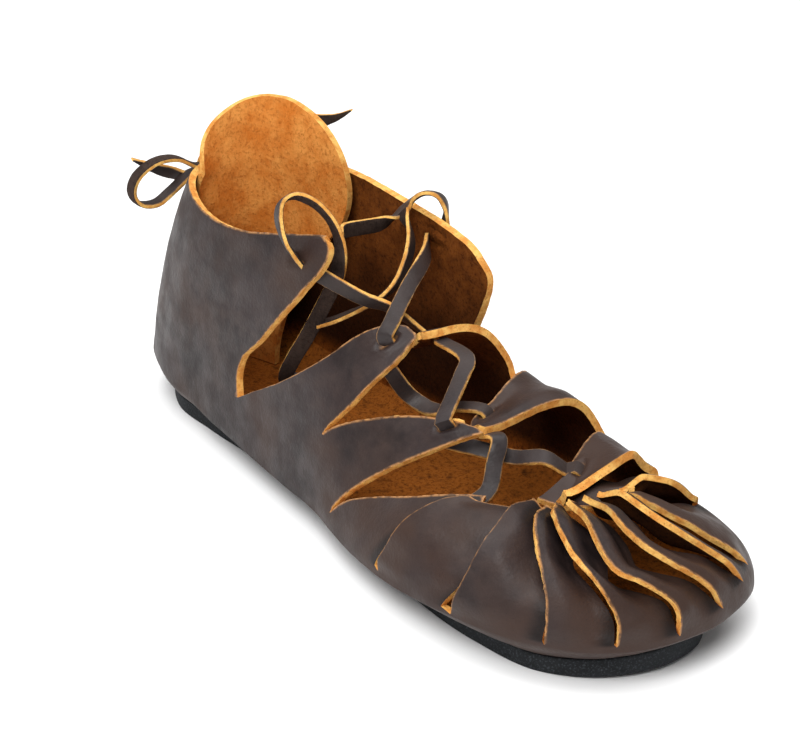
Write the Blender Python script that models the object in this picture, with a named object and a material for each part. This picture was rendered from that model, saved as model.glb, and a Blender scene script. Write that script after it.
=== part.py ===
"""Leather sandal for a right foot: one wrapped piece of thick leather, laced up, on a thin rubber sole.

The toe points to +X, the inner side of the foot to +Y, and the floor is z = 0. Sizes are in millimetres in
the shoe's own frame, which has x = 0 near the back end of the sole. They become metres when a mesh is made.
"""
import math

import bmesh
import bpy
import numpy as np

for item in list(bpy.data.objects):
    bpy.data.objects.remove(item, do_unlink=True)

MM = 0.001
# The middle of the shoe's box, which becomes the origin
MIDDLE_X = 124.0
MIDDLE_Y = 0.5

# Leather and sole
LEATHER = 2.6
CLEAR = 0.3
SOLE_THICK = 6.0
SOLE_BEVEL = 0.8
HEEL_FLAT_END = 92.0
BALL_FLAT_START = 148.0
BALL_FLAT_END = 232.0
WAIST_RISE = 1.4
TOE_TIP_X = 262.0
# The toe spring under the leather and under the sole, which thins towards the toe
TOE_SPRING = 3.2
TOE_SPRING_BELOW = 1.9
# The wall's turn under the foot: 1 is a quarter of a circle, more is flatter
UNDER_POWER = 1.45
FOOTBED_INSET = 7.0

# The last: a row for each rib, from the middle of the heel round the outer side, the toe and the inner side.
# A rib starts at the foot of the wall, its widest point low down, and ends at the top line. Square is 1 for a
# straight rib, 2 for a quarter of an ellipse and more for a boxy one. Overhang is the leather's reach past
# the sole. L0 to L3 are the tabs of the outer side from the heel on, M0 to M4 those of the inner side, and
# T4 to T11 the toe strips.
RIB_COLUMNS = ("foot_x", "foot_y", "foot_z", "top_x", "top_y", "top_z", "square", "overhang")
RIBS = (
    ("heel back", -18.5, 0.5, 18.0, 3.0, 3.0, 92.0, 1.2, 15.0),
    ("heel outer corner", -11.0, -22.5, 17.0, 11.0, -16.5, 90.0, 1.2, 11.0),
    ("heel outer side", 12.0, -32.0, 14.0, 30.0, -24.5, 85.0, 1.3, 6.0),
    ("quarter outer", 40.0, -34.5, 11.5, 63.0, -26.0, 86.5, 1.4, 7.0),
    ("L0 front", 66.0, -36.5, 10.0, 108.0, -19.0, 97.0, 1.5, 10.0),
    ("L1 front", 126.0, -41.0, 9.5, 146.0, -8.0, 72.0, 2.0, 13.0),
    ("L2 front", 146.0, -44.5, 9.5, 187.0, -11.0, 53.0, 1.7, 12.0),
    ("L3 front", 174.0, -48.5, 10.0, 196.0, -18.0, 38.0, 2.0, 12.5),
    ("T5 edge", 213.0, -46.5, 13.0, 208.0, -11.0, 39.5, 2.1, 10.5),
    ("T6 edge", 241.0, -37.5, 14.0, 213.0, -10.0, 41.0, 2.1, 8.0),
    ("T7 edge", 257.5, -23.0, 14.0, 216.0, -7.0, 42.5, 2.1, 8.0),
    ("T8 edge", 266.0, -1.0, 14.5, 218.0, -2.0, 43.0, 2.1, 8.0),
    ("T9 edge", 264.5, 21.0, 15.0, 219.5, 4.0, 43.5, 2.1, 11.0),
    ("T10 edge", 258.0, 37.0, 15.5, 221.0, 9.0, 43.5, 1.85, 18.0),
    ("T11 edge", 247.0, 46.0, 16.0, 222.0, 14.0, 43.5, 1.65, 18.5),
    ("M4 front", 232.0, 50.0, 16.0, 222.0, 16.0, 43.0, 1.55, 14.0),
    ("M3 front", 212.0, 49.5, 15.0, 212.0, 2.0, 43.5, 1.85, 10.5),
    ("M2 front", 178.0, 45.0, 13.0, 183.0, -4.0, 54.5, 2.5, 12.0),
    ("M1 front", 138.0, 41.0, 12.0, 138.0, -2.0, 69.0, 2.5, 12.0),
    ("M1 rear", 121.0, 38.6, 12.0, 122.0, 0.0, 61.0, 2.3, 12.0),
    ("M0 notch", 112.0, 37.2, 12.0, 130.0, 18.0, 67.0, 1.8, 12.0),
    ("M0 front", 103.0, 35.9, 12.0, 136.5, 28.0, 76.0, 1.15, 11.0),
    ("M0 shoulder", 86.0, 34.9, 12.0, 129.0, 28.0, 87.0, 1.25, 10.0),
    ("quarter inner", 50.0, 33.5, 12.0, 76.0, 29.0, 93.5, 1.3, 8.0),
    ("heel inner side", 12.0, 31.0, 14.0, 32.0, 27.5, 93.0, 1.2, 6.0),
    ("heel inner corner", -11.0, 23.0, 17.0, 12.0, 19.0, 92.5, 1.2, 11.0),
)

# Cut edges of the leather as (rib number, height) from the end of the cut to the tip of the tab or strip
EDGES = {
    "L0 back": ((0.02, 0.04), (0.03, 0.36), (0.05, 0.70), (0.07, 1.00)),
    "L0 front": (
        (4.05, 0.18), (3.97, 0.31), (4.11, 0.44), (4.21, 0.57), (4.28, 0.70), (4.27, 0.83), (3.92, 1.01),
    ),
    "L1 rear": ((4.05, 0.18), (4.52, 0.38), (4.82, 0.62), (4.93, 0.95)),
    "L1 front": ((5.02, 0.36), (5.20, 0.55), (5.18, 0.80), (5.00, 0.98)),
    "L2 rear": ((5.02, 0.36), (5.45, 0.56), (5.70, 0.77), (5.86, 0.94)),
    "L2 front": ((5.72, 0.08), (6.00, 0.34), (6.06, 0.66), (5.97, 0.97)),
    "L3 rear": ((5.72, 0.08), (6.28, 0.34), (6.68, 0.58), (6.98, 0.96)),
    "T4": ((7.05, 0.04), (7.10, 0.30), (7.08, 0.58), (7.00, 0.86)),
    "T5": ((7.98, 0.01), (8.12, 0.26), (8.24, 0.44), (8.28, 0.66), (8.18, 0.97)),
    "T6": ((9.17, 0.01), (9.21, 0.24), (9.10, 0.46), (8.93, 0.68), (8.84, 1.00)),
    "T7": ((10.15, 0.03), (10.17, 0.18), (9.98, 0.36), (9.66, 0.55), (9.46, 0.78), (9.60, 1.00)),
    "T8": ((11.00, 0.03), (10.96, 0.20), (10.62, 0.32), (10.26, 0.42), (10.20, 0.66), (10.50, 1.00)),
    "T9": ((11.82, 0.07), (11.56, 0.25), (11.18, 0.38), (10.90, 0.50), (10.86, 0.70), (11.40, 1.00)),
    "T10": ((12.58, 0.11), (12.20, 0.32), (11.82, 0.46), (11.64, 0.62), (11.74, 0.82), (12.20, 1.00)),
    "T11": ((13.10, 0.14), (12.70, 0.32), (12.36, 0.46), (12.12, 0.61), (12.18, 0.80), (12.90, 1.00)),
    "M4": ((14.95, 0.44), (14.35, 0.60), (13.95, 0.74), (13.80, 0.88), (13.55, 1.00)),
    "M3 front": ((16.08, 0.30), (16.14, 0.50), (16.00, 0.77), (15.90, 1.10)),
    "M3 rear": ((16.90, 0.12), (16.76, 0.46), (16.42, 0.78), (16.16, 1.05)),
    "M2 front": ((16.90, 0.12), (17.00, 0.42), (17.02, 0.75), (17.06, 1.08)),
    "M2 rear": ((18.00, 0.38), (17.66, 0.52), (17.36, 0.80), (17.26, 1.02)),
    "M1 front": ((18.00, 0.38), (18.02, 0.58), (18.02, 0.80), (18.00, 1.00)),
    "M1 rear": ((20.50, 0.22), (19.60, 0.42), (19.15, 0.66), (18.80, 0.94)),
    "M0 front": ((20.50, 0.22), (20.95, 0.48), (21.12, 0.68), (21.22, 0.84), (21.45, 0.95), (22.00, 1.00)),
    "M0 back": ((25.98, 0.04), (25.97, 0.36), (25.95, 0.70), (25.93, 1.00)),
}
# Tabs and strips in order round the shoe. Lift is how far the first edge rides up over the neighbour before
# it, sink how far the second edge dips below the last, droop how far the tip hangs down, and curl how far the
# end turns in. A second edge with no name is tucked under the next strip. Across and up are its cells.
TAB_COLUMNS = (
    "name", "first_edge", "second_edge", "lift", "sink", "droop", "curl", "across", "up", "rounded_tip",
)
TABS = (
    ("L0", "L0 back", "L0 front", 0.0, 0.0, 0.0, 0.0, 18, 9, False),
    ("L1", "L1 rear", "L1 front", 0.0, 0.0, 0.0, 0.0, 8, 9, True),
    ("L2", "L2 rear", "L2 front", 0.0, 0.0, 0.0, 0.0, 6, 10, True),
    ("L3", "L3 rear", None, 0.0, 0.0, 0.0, 0.0, 7, 9, False),
    ("T4", "T4", None, 4.6, 3.5, 0.0, 2.0, 6, 10, False),
    ("T5", "T5", None, 7.0, 4.0, 0.0, 5.0, 6, 10, False),
    ("T6", "T6", None, 5.5, 5.5, 0.0, 6.0, 5, 11, False),
    ("T7", "T7", None, 5.5, 5.5, 0.0, 6.0, 5, 11, False),
    ("T8", "T8", None, 5.5, 5.5, 0.0, 6.0, 5, 11, False),
    ("T9", "T9", None, 5.5, 5.5, 0.0, 6.0, 5, 11, False),
    ("T10", "T10", None, 5.5, 5.0, 0.0, 6.0, 5, 11, False),
    ("T11", "T11", None, 3.0, 4.0, 0.0, 6.0, 5, 11, False),
    ("M4", "M4", None, 5.0, 3.0, 0.0, 6.0, 6, 11, False),
    ("M3", "M3 front", "M3 rear", 9.0, 0.0, 10.0, 0.0, 7, 11, True),
    ("M2", "M2 front", "M2 rear", 4.5, 5.0, 8.0, 0.0, 7, 11, True),
    ("M1", "M1 front", "M1 rear", 1.5, 0.0, 2.0, 0.0, 7, 10, True),
    ("M0", "M0 front", "M0 back", 0.0, 0.0, 0.0, 0.0, 18, 9, False),
)
# A tucked edge reaches this share of a rib's spacing under the next strip, where that one is clear above it
TUCK = 0.30
SLIT_GAP = 0.035
LOW_LIFT_SHARE = 0.35
LOW_LIFT_FULL = 0.14
HIGH_LIFT_START = 0.18
HIGH_LIFT_FULL = 0.56
TUCK_START = 0.54
TUCK_FULL = 0.78
DROOP_START = 0.45
CURL_START = 0.78
# A dip starts and is full at these shares across. From a share up it fades to what is left at the end.
DIP_START = 0.25
DIP_FULL = 0.80
DIP_END = 0.75
DIP_LEFT = 0.40
TIP_START = 0.82
TIP_WIDTH = 0.55
# Rings of the wall below the tabs, as shares of the cut height, then down under the foot of the wall
WALL_LEVELS = (0.5, 0.0, -0.4, -0.75, -1.0)
SOLE_STEPS = 34
SOLE_SAMPLES = 600
SOLE_MARGIN = 1.0
SHARP_ANGLE = 40.0

# Heel tab: a round head on a neck. It springs forward and lies across the inner corner of the collar.
TAB_PLAN = ((7.5, -21.0), (18.0, 12.0), (58.0, 25.0))
TAB_HEAD_WIDE = 35.3
TAB_HEAD_TALL = 29.5
TAB_HEAD_Z = 88.0
# The head sits this far along the plan, and its outer side draws in below the collar's top line
TAB_SHIFT = 2.4
TAB_LEAN = 6.0
TAB_LEAN_LOW = 91.0
TAB_LEAN_HIGH = 97.0
TAB_NECK_HALF = 15.0
TAB_NECK_LOW = 9.4
TAB_SPRING = (16.0, 6.0)
TAB_SPRING_END = 75.0
TAB_ACROSS = 10
TAB_NECK_ROWS = 7
TAB_HEAD_ROWS = 13
TAB_HEAD_END = 86.0
TAB_PLAN_SAMPLES = 60

# Lace: flat bars between the tabs, and round tubes for its loops, bow and ends
LACE_WIDTH = 5.5
LACE_THICK = 2.0
LACE_CLEAR = 0.8
CORD_RADIUS = 1.4
CORD_STEP = 7.0
BAR_STEP = 5.0
# A bar's stops are points of the shoe's frame, or spots where it lies flat on a tab: the tab, the share
# across it from its first edge, the share up it, and the side of the leather
BARS = {
    "lace_bar_1": (
        ("L0", 0.97, 0.76, "in"), (115.0, -12.0, 76.0), (122.5, -5.0, 73.0), ("M1", 0.40, 0.90, "out"),
    ),
    "lace_bar_2": (
        ("L1", 0.45, 0.86, "out"), ("L1", 0.06, 0.95, "out"), (123.0, 1.5, 79.0), (111.5, 17.0, 82.5),
        ("M0", 0.24, 0.72, "in"),
    ),
    "lace_bar_3": (
        ("M1", 0.14, 0.88, "in"), (150.5, 4.5, 63.0), (157.0, -3.5, 60.0), ("L2", 0.00, 0.80, "out"),
        ("L2", 0.28, 0.80, "out"),
    ),
    "lace_bar_4": (
        ("L1", 0.90, 0.66, "in"), (142.3, -12.0, 50.7), (150.9, -8.0, 47.4), (160.0, -4.0, 51.0),
        ("M2", 0.78, 0.85, "out"),
    ),
    "lace_bar_5": (
        ("M2", 0.35, 0.96, "in"), (184.0, -6.5, 50.0), (187.5, -11.0, 43.7), (190.5, -15.5, 37.0),
        ("L3", 0.30, 0.92, "in"),
    ),
    "lace_bar_6": (
        (180.5, -4.5, 41.5), (187.0, -3.0, 43.5), (198.0, 0.8, 47.0), ("M3", 0.92, 0.74, "out"),
        ("M3", 0.66, 0.71, "out"),
    ),
}
# Free stretches of the lace, in the shoe's frame
CORDS = {
    "lace_loop_outer": (
        (96.5, -26.2, 86.5), (94.5, -28.5, 93.0), (90.0, -28.0, 99.5), (87.0, -25.0, 104.0),
        (88.5, -20.5, 106.0), (93.0, -16.0, 104.0), (98.5, -13.0, 99.0), (102.5, -12.0, 92.0),
        (103.0, -12.5, 84.5), (100.4, -13.0, 76.6), (96.5, -14.5, 68.0), (92.6, -16.0, 60.2),
        (88.2, -17.5, 52.0), (83.8, -19.0, 44.4), (79.0, -19.5, 36.5), (75.0, -17.0, 31.0),
        (71.0, -12.5, 31.0),
    ),
    "lace_loop_inner": (
        (96.0, -6.5, 92.5), (91.5, 4.0, 90.0), (89.5, 13.0, 88.5), (91.0, 19.0, 90.5), (93.5, 22.0, 93.8),
        (94.5, 24.2, 96.8), (97.5, 27.0, 99.4), (101.5, 29.8, 99.2), (103.5, 31.6, 95.3),
        (104.0, 31.6, 90.0),
    ),
    "lace_loop_throat": (
        (94.3, 20.0, 93.0), (101.6, 18.0, 87.8), (105.7, 14.0, 81.4), (107.3, 8.0, 73.8),
        (105.5, 0.0, 68.2), (100.0, -9.5, 63.0), (95.0, -13.2, 60.0),
    ),
    "lace_bow_outer": (
        (-5.0, -4.9, 86.0), (-7.5, -11.5, 89.5), (-10.0, -19.0, 89.0), (-11.5, -26.0, 84.5),
        (-12.0, -28.5, 78.5), (-11.5, -26.0, 73.5), (-10.5, -19.5, 72.5), (-9.5, -13.0, 76.5),
        (-8.5, -6.5, 81.5),
    ),
    "lace_bow_inner": (
        (-5.0, 9.9, 86.0), (-6.0, 18.0, 89.0), (-5.0, 27.0, 88.5), (-2.5, 33.5, 84.0), (-1.5, 36.0, 78.0),
        (-3.5, 33.0, 73.0), (-7.0, 26.5, 72.5), (-9.0, 19.5, 76.0), (-9.0, 13.0, 81.5),
    ),
    "lace_end_outer": (
        (-10.5, -4.5, 80.0), (-13.5, -9.5, 81.5), (-15.0, -17.5, 85.0), (-15.0, -26.0, 90.0),
    ),
    "lace_end_inner": (
        (-4.5, 11.0, 89.5), (-3.5, 19.0, 94.0), (4.0, 28.5, 98.0), (15.0, 34.0, 101.0), (25.0, 38.0, 104.5),
        (31.0, 42.0, 108.5),
    ),
}
KNOT_RIB = 0.0
KNOT_HEIGHT = 0.88
KNOT_SIZE = (6.5, 13.0, 9.0)
KNOT_BEVEL = 2.5


def closed_curve(knots, period, values):
    """A smooth closed curve through values at knots, for rows of numbers."""
    step = np.diff(np.append(knots, knots[0] + period))
    slope = (np.roll(values, -1, 0) - values) / step[:, None]
    back_step = np.roll(step, 1)
    back_slope = np.roll(slope, 1, 0)
    tangent = (slope * back_step[:, None] + back_slope * step[:, None]) / (step + back_step)[:, None]

    def at(t):
        t = np.mod(t, period)
        i = np.clip(np.searchsorted(knots, t, side="right") - 1, 0, len(knots) - 1)
        j = (i + 1) % len(knots)
        h = step[i][:, None]
        u = ((t - knots[i]) / step[i])[:, None]
        return (
            values[i] * (2 * u**3 - 3 * u**2 + 1)
            + tangent[i] * h * (u**3 - 2 * u**2 + u)
            + values[j] * (3 * u**2 - 2 * u**3)
            + tangent[j] * h * (u**3 - u**2)
        )

    return at


RIB_VALUES = np.array([row[1:] for row in RIBS], float)
FOOT = slice(0, 3)
TOP = slice(3, 6)
SQUARE = RIB_COLUMNS.index("square")
OVERHANG = RIB_COLUMNS.index("overhang")
FEET = RIB_VALUES[:, FOOT]
RIB_STEPS = np.linalg.norm(np.roll(FEET, -1, 0) - FEET, axis=1)
RIB_KNOTS = np.concatenate([[0.0], np.cumsum(RIB_STEPS)[:-1]])
GIRTH = float(RIB_STEPS.sum())
rib_curve = closed_curve(RIB_KNOTS, GIRTH, RIB_VALUES)
RIB_COUNT = len(RIBS)
RIB_SAMPLES = 25
# Steps to the side and up that a normal is worked out from
NEAR_RIB = 0.02
NEAR_HEIGHT = 0.01
NEAR_SHARE = 0.02


def girth_at(rib):
    """Millimetres round the foot of the wall at a rib number, which may be fractional."""
    places = np.append(RIB_KNOTS, GIRTH)
    return np.interp(np.mod(rib, RIB_COUNT), np.arange(RIB_COUNT + 1), places)


def foot_outward(t):
    """Level direction pointing out of the wall at its foot."""
    along = rib_curve(t + 0.5)[:, 0:2] - rib_curve(t - 0.5)[:, 0:2]
    along /= np.linalg.norm(along, axis=1)[:, None]
    return np.stack([-along[:, 1], along[:, 0]], axis=1) * TURN


def last_point(rib, height):
    """Point of the leather's outside. Height is -1 at the sole's edge, 0 at the wall's foot, 1 on top."""
    t = girth_at(rib)
    row = rib_curve(t)
    foot, top, square = row[:, FOOT], row[:, TOP], np.maximum(row[:, SQUARE:SQUARE + 1], 1.0)
    angle = np.linspace(0.0, math.pi / 2, RIB_SAMPLES)[None, :]
    level = 1.0 - np.cos(angle) ** (2.0 / square)
    rise = np.sin(angle) ** (2.0 / square)
    level[:, -1] = 1.0
    reach = top - foot
    flat = np.linalg.norm(reach[:, 0:2], axis=1)[:, None]
    length = np.hypot(np.diff(level, axis=1) * flat, np.diff(rise, axis=1) * reach[:, 2:3])
    length = np.concatenate([np.zeros((len(rib), 1)), np.cumsum(length, axis=1)], axis=1)
    out = np.empty((len(rib), 3))
    for i, h in enumerate(height):
        if h < 0.0:
            turn = (1.0 + h) * math.pi / 2
            outward = foot_outward(t[i:i + 1])[0]
            inset = row[i, OVERHANG] * (1.0 - math.sin(turn) ** UNDER_POWER)
            out[i, 0:2] = foot[i, 0:2] - outward * inset
            floor = footbed_height(out[i, 0])
            out[i, 2] = floor + (foot[i, 2] - floor) * (1.0 - math.cos(turn) ** UNDER_POWER)
            continue
        want = h * length[i, -1]
        part_level = np.interp(want, length[i], level[i])
        part_rise = np.interp(want, length[i], rise[i])
        past = max(0.0, want - length[i, -1])
        out[i, 0:2] = foot[i, 0:2] + reach[i, 0:2] * part_level
        out[i, 2] = foot[i, 2] + reach[i, 2] * part_rise
        if past:
            end = np.array([
                *(reach[i, 0:2] * (level[i, -1] - level[i, -3])),
                reach[i, 2] * (rise[i, -1] - rise[i, -3]),
            ])
            out[i] += past * end / np.linalg.norm(end)
    return out


def ease(value, start, end):
    """Smooth step from 0 at start to 1 at end."""
    u = np.clip((value - start) / (end - start), 0.0, 1.0)
    return u * u * (3.0 - 2.0 * u)


def toe_rise(x, spring=TOE_SPRING):
    """Height that the toe spring adds in front of the ball."""
    share = np.clip((x - BALL_FLAT_END) / (TOE_TIP_X - BALL_FLAT_END), 0.0, 1.2)
    return spring * share**2


def sole_bottom(x):
    """Height of the sole's underside: flat heel and ball, a low waist and some toe spring."""
    middle = (HEEL_FLAT_END + BALL_FLAT_START) / 2
    waist = ease(x, HEEL_FLAT_END, middle) * (1.0 - ease(x, middle, BALL_FLAT_START))
    return WAIST_RISE * waist + toe_rise(x, TOE_SPRING_BELOW)


def footbed_height(x):
    """Height of the leather's underside where it lies on the sole."""
    return SOLE_THICK + toe_rise(x) + CLEAR


# The ribs run with the outer side first, which sets the sign of the outward direction
TURN = -1.0 if FEET[1, 1] < FEET[0, 1] else 1.0


def metres(points):
    """Points of the shoe's frame as metres about the origin."""
    return (np.asarray(points, float) - (MIDDLE_X, MIDDLE_Y, 0.0)) * MM


def last_outward(rib, height):
    """Unit normal of the leather's outside."""
    across = last_point(rib + NEAR_RIB, height) - last_point(rib - NEAR_RIB, height)
    up = last_point(rib, height + NEAR_HEIGHT) - last_point(rib, height - NEAR_HEIGHT)
    normal = np.cross(up, across) * TURN
    return normal / np.linalg.norm(normal, axis=1)[:, None]


def edge_point(points, share):
    """Place along a cut edge, from its start at 0 to its tip at 1, on a smooth curve through the points."""
    points = np.asarray(points, float)
    count = len(points) - 1
    place = np.clip(share * count, 0.0, count - 1e-9)
    i = int(place)
    u = place - i
    before = points[i - 1] if i else 2 * points[0] - points[1]
    after = points[i + 2] if i + 2 <= count else 2 * points[count] - points[count - 1]
    a, b = points[i], points[i + 1]
    return 0.5 * (
        2 * a
        + (b - before) * u
        + (2 * before - 5 * a + 4 * b - after) * u**2
        + (3 * a - before - 3 * b + after) * u**3
    )


def second_edge_point(tab, following, share):
    """Place along a tab's second edge, its own one or the next strip's edge and the tuck beyond it."""
    if tab["second_edge"]:
        return edge_point(EDGES[tab["second_edge"]], share)
    place = edge_point(EDGES[following["first_edge"]], share)
    if share > 0.0:
        tucked = ease(share, TUCK_START, TUCK_FULL)
        place[0] += TUCK * tucked - SLIT_GAP * (1.0 - tucked)
    return place


def lift_share(share):
    """Share of its lift that a strip's edge has: some soon after the cut, the rest over the bend."""
    low = LOW_LIFT_SHARE * ease(share, 0.0, LOW_LIFT_FULL)
    return low + (1.0 - LOW_LIFT_SHARE) * ease(share, HIGH_LIFT_START, HIGH_LIFT_FULL)


def tab_edges(tab, following, share):
    """Both edges of a tab at a share of its length, drawn together at a rounded tip."""
    first = edge_point(EDGES[tab["first_edge"]], share)
    second = second_edge_point(tab, following, share)
    if tab["rounded_tip"] and share > TIP_START:
        turn = min(1.0, (share - TIP_START) / (1.0 - TIP_START))
        keep = TIP_WIDTH + (1.0 - TIP_WIDTH) * math.sqrt(1.0 - turn**2)
        middle = (first + second) / 2
        first = middle + (first - middle) * keep
        second = middle + (second - middle) * keep
    return first, second


def tab_place(tab, following, share, c):
    """Rib, height and lift of a spot on a tab, a share up it and c across it."""
    first, second = tab_edges(tab, following, share)
    rib, height = first * (1.0 - c) + second * c
    fade = 1.0 - (1.0 - DIP_LEFT) * float(ease(share, DIP_END, 1.0))
    dip = tab["sink"] * float(ease(c, DIP_START, DIP_FULL)) * fade
    raised = float(lift_share(share)) * (tab["lift"] * (1.0 - c) - dip)
    hang = tab["droop"] * float(ease(share, DROOP_START, 1.0))
    turned_in = tab["curl"] * float(ease(share, CURL_START, 1.0))
    return rib, height, raised - hang - turned_in


def tab_rows(tab, following):
    """Grid of (rib, height, lift) for one tab, from its root to its tip."""
    rows = []
    for i in range(tab["up"] + 1):
        share = i / tab["up"]
        rows.append([tab_place(tab, following, share, j / tab["across"]) for j in range(tab["across"] + 1)])
    return rows


def leather_points(places):
    """Points of the leather's outside at rows of (rib, height, lift)."""
    places = np.asarray(places, float)
    points = last_point(places[:, 0], places[:, 1])
    lifted = places[:, 2] != 0.0
    if lifted.any():
        normal = last_outward(places[lifted, 0], places[lifted, 1])
        points[lifted] += normal * places[lifted, 2:3]
    return points


def upper_surface():
    """The leather's outside as one open sheet: foot bed, turned-up wall, tabs and toe strips."""
    sheet = bmesh.new()
    tabs = [dict(zip(TAB_COLUMNS, row)) for row in TABS]
    rim = []
    rim_places = []
    grids = []
    for k, tab in enumerate(tabs):
        grid = tab_rows(tab, tabs[(k + 1) % len(tabs)])
        grids.append(grid)
        points = metres(leather_points([(rib, height, 0.0) for rib, height, _ in grid[0][:-1]]))
        rim += [sheet.verts.new(p) for p in points]
        rim_places += grid[0][:-1]
    start = 0
    for tab, grid in zip(tabs, grids):
        below = [rim[(start + j) % len(rim)] for j in range(tab["across"] + 1)]
        start += tab["across"]
        for row in grid[1:]:
            line = [sheet.verts.new(p) for p in metres(leather_points(row))]
            for j in range(tab["across"]):
                sheet.faces.new((below[j], below[j + 1], line[j + 1], line[j]))
            below = line
    ring = rim
    for level in WALL_LEVELS:
        heights = [place[1] * level if level > 0 else level for place in rim_places]
        ribs = [place[0] for place in rim_places]
        ring = next_ring(sheet, ring, last_point(np.array(ribs), np.array(heights)))
    ribs = np.array([place[0] for place in rim_places])
    edge = last_point(ribs, np.full(len(ribs), -1.0))
    edge[:, 0:2] -= foot_outward(girth_at(ribs)) * FOOTBED_INSET
    edge[:, 2] = footbed_height(edge[:, 0])
    ring = next_ring(sheet, ring, edge)
    loop = [sheet.edges.get((ring[i - 1], ring[i])) for i in range(len(ring))]
    bmesh.ops.triangle_fill(sheet, use_beauty=True, use_dissolve=False, edges=loop)
    bmesh.ops.recalc_face_normals(sheet, faces=sheet.faces)
    return sheet


def next_ring(sheet, ring, points):
    """A ring of faces below another one, ending at the points."""
    lower = [sheet.verts.new(p) for p in metres(points)]
    for i in range(len(ring)):
        sheet.faces.new((lower[i - 1], lower[i], ring[i], ring[i - 1]))
    return lower


def add_object(name, shape, material):
    """A scene object from a bmesh, shaded smooth with sharp cut edges."""
    mesh = bpy.data.meshes.new(name)
    shape.to_mesh(mesh)
    shape.free()
    mesh.shade_smooth()
    mesh.set_sharp_from_angle(angle=math.radians(SHARP_ANGLE))
    mesh.materials.append(material)
    item = bpy.data.objects.new(name, mesh)
    bpy.context.scene.collection.objects.link(item)
    return item


def plain_material(name, colour, roughness):
    """A plain surface of one colour."""
    material = bpy.data.materials.new(name)
    material.use_nodes = True
    shader = material.node_tree.nodes["Principled BSDF"]
    shader.inputs["Base Color"].default_value = (*colour, 1.0)
    shader.inputs["Roughness"].default_value = roughness
    shader.inputs["Metallic"].default_value = 0.0
    return material


def make_upper(material):
    """The wrapped leather, thickened inwards."""
    item = add_object("upper", upper_surface(), material)
    wall = item.modifiers.new("thickness", "SOLIDIFY")
    wall.thickness = LEATHER * MM
    wall.offset = -1.0
    wall.use_even_offset = False
    return item


def sole_stations():
    """Rows of (x, outer y, inner y) along the sole, closer together at its ends."""
    ribs = np.linspace(0.0, RIB_COUNT, SOLE_SAMPLES, endpoint=False)
    line = last_point(ribs, np.full(len(ribs), -1.0))
    line[:, 0:2] += foot_outward(girth_at(ribs)) * SOLE_MARGIN
    back, toe = int(np.argmin(line[:, 0])), int(np.argmax(line[:, 0]))
    line = np.roll(line, -back, axis=0)
    toe = (toe - back) % len(line)
    outer, inner = line[:toe + 1], np.vstack([line[toe:], line[:1]])[::-1]
    turn = np.linspace(0.0, math.pi, SOLE_STEPS + 1)
    x = line[0, 0] + (line[toe, 0] - line[0, 0]) * (1.0 - np.cos(turn)) / 2
    outer_y = np.interp(x, outer[:, 0], outer[:, 1])
    inner_y = np.interp(x, inner[:, 0], inner[:, 1])
    return np.stack([x, outer_y, inner_y], axis=1)


def make_outsole(material):
    """The sole: cross strips on top and below, with a bevelled side all round."""
    stations = sole_stations()
    outer = [(x, y) for x, y, _ in stations]
    inner = [(x, y) for x, _, y in stations[1:-1]][::-1]
    plan = np.array(outer + inner)
    centre = plan.mean(axis=0)
    inward = centre - plan
    inward /= np.linalg.norm(inward, axis=1)[:, None]
    low = sole_bottom(plan[:, 0])
    high = SOLE_THICK + toe_rise(plan[:, 0])
    levels = (
        (SOLE_BEVEL, low),
        (0.0, low + SOLE_BEVEL),
        (0.0, high - SOLE_BEVEL),
        (SOLE_BEVEL, high),
    )
    shape = bmesh.new()
    rings = []
    for inset, height in levels:
        flat = plan + inward * inset
        points = metres(np.column_stack([flat, height]))
        rings.append([shape.verts.new(p) for p in points])
    count = len(plan)
    for lower, upper in zip(rings, rings[1:]):
        for i in range(count):
            shape.faces.new((lower[i - 1], lower[i], upper[i], upper[i - 1]))
    for ring in (rings[0], rings[-1]):
        for i in range(SOLE_STEPS):
            across = [ring[i], ring[i + 1], ring[count - i - 1], ring[(count - i) % count]]
            shape.faces.new(list(dict.fromkeys(across)))
    bmesh.ops.recalc_face_normals(shape, faces=shape.faces)
    return add_object("outsole", shape, material)


def heel_tab_row(z, half_width):
    """Points of the tab's outside at one height, spread along its plan from the middle."""
    plan = np.array([edge_point(TAB_PLAN, share) for share in np.linspace(0.0, 1.0, TAB_PLAN_SAMPLES)])
    length = np.append(0.0, np.cumsum(np.linalg.norm(np.diff(plan, axis=0), axis=1)))
    lean = TAB_LEAN * (1.0 - float(ease(z, TAB_LEAN_LOW, TAB_LEAN_HIGH)))
    share = np.linspace(-1.0, 1.0, TAB_ACROSS + 1)
    spread = length[-1] / 2 + TAB_SHIFT + half_width * share + lean * (1.0 - share) / 2
    back = 1.0 - float(ease(z, TAB_NECK_LOW, TAB_SPRING_END))
    x = np.interp(spread, length, plan[:, 0]) - TAB_SPRING[0] * back
    y = np.interp(spread, length, plan[:, 1]) - TAB_SPRING[1] * back
    return np.column_stack([x, y, np.full(len(spread), z)])


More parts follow.
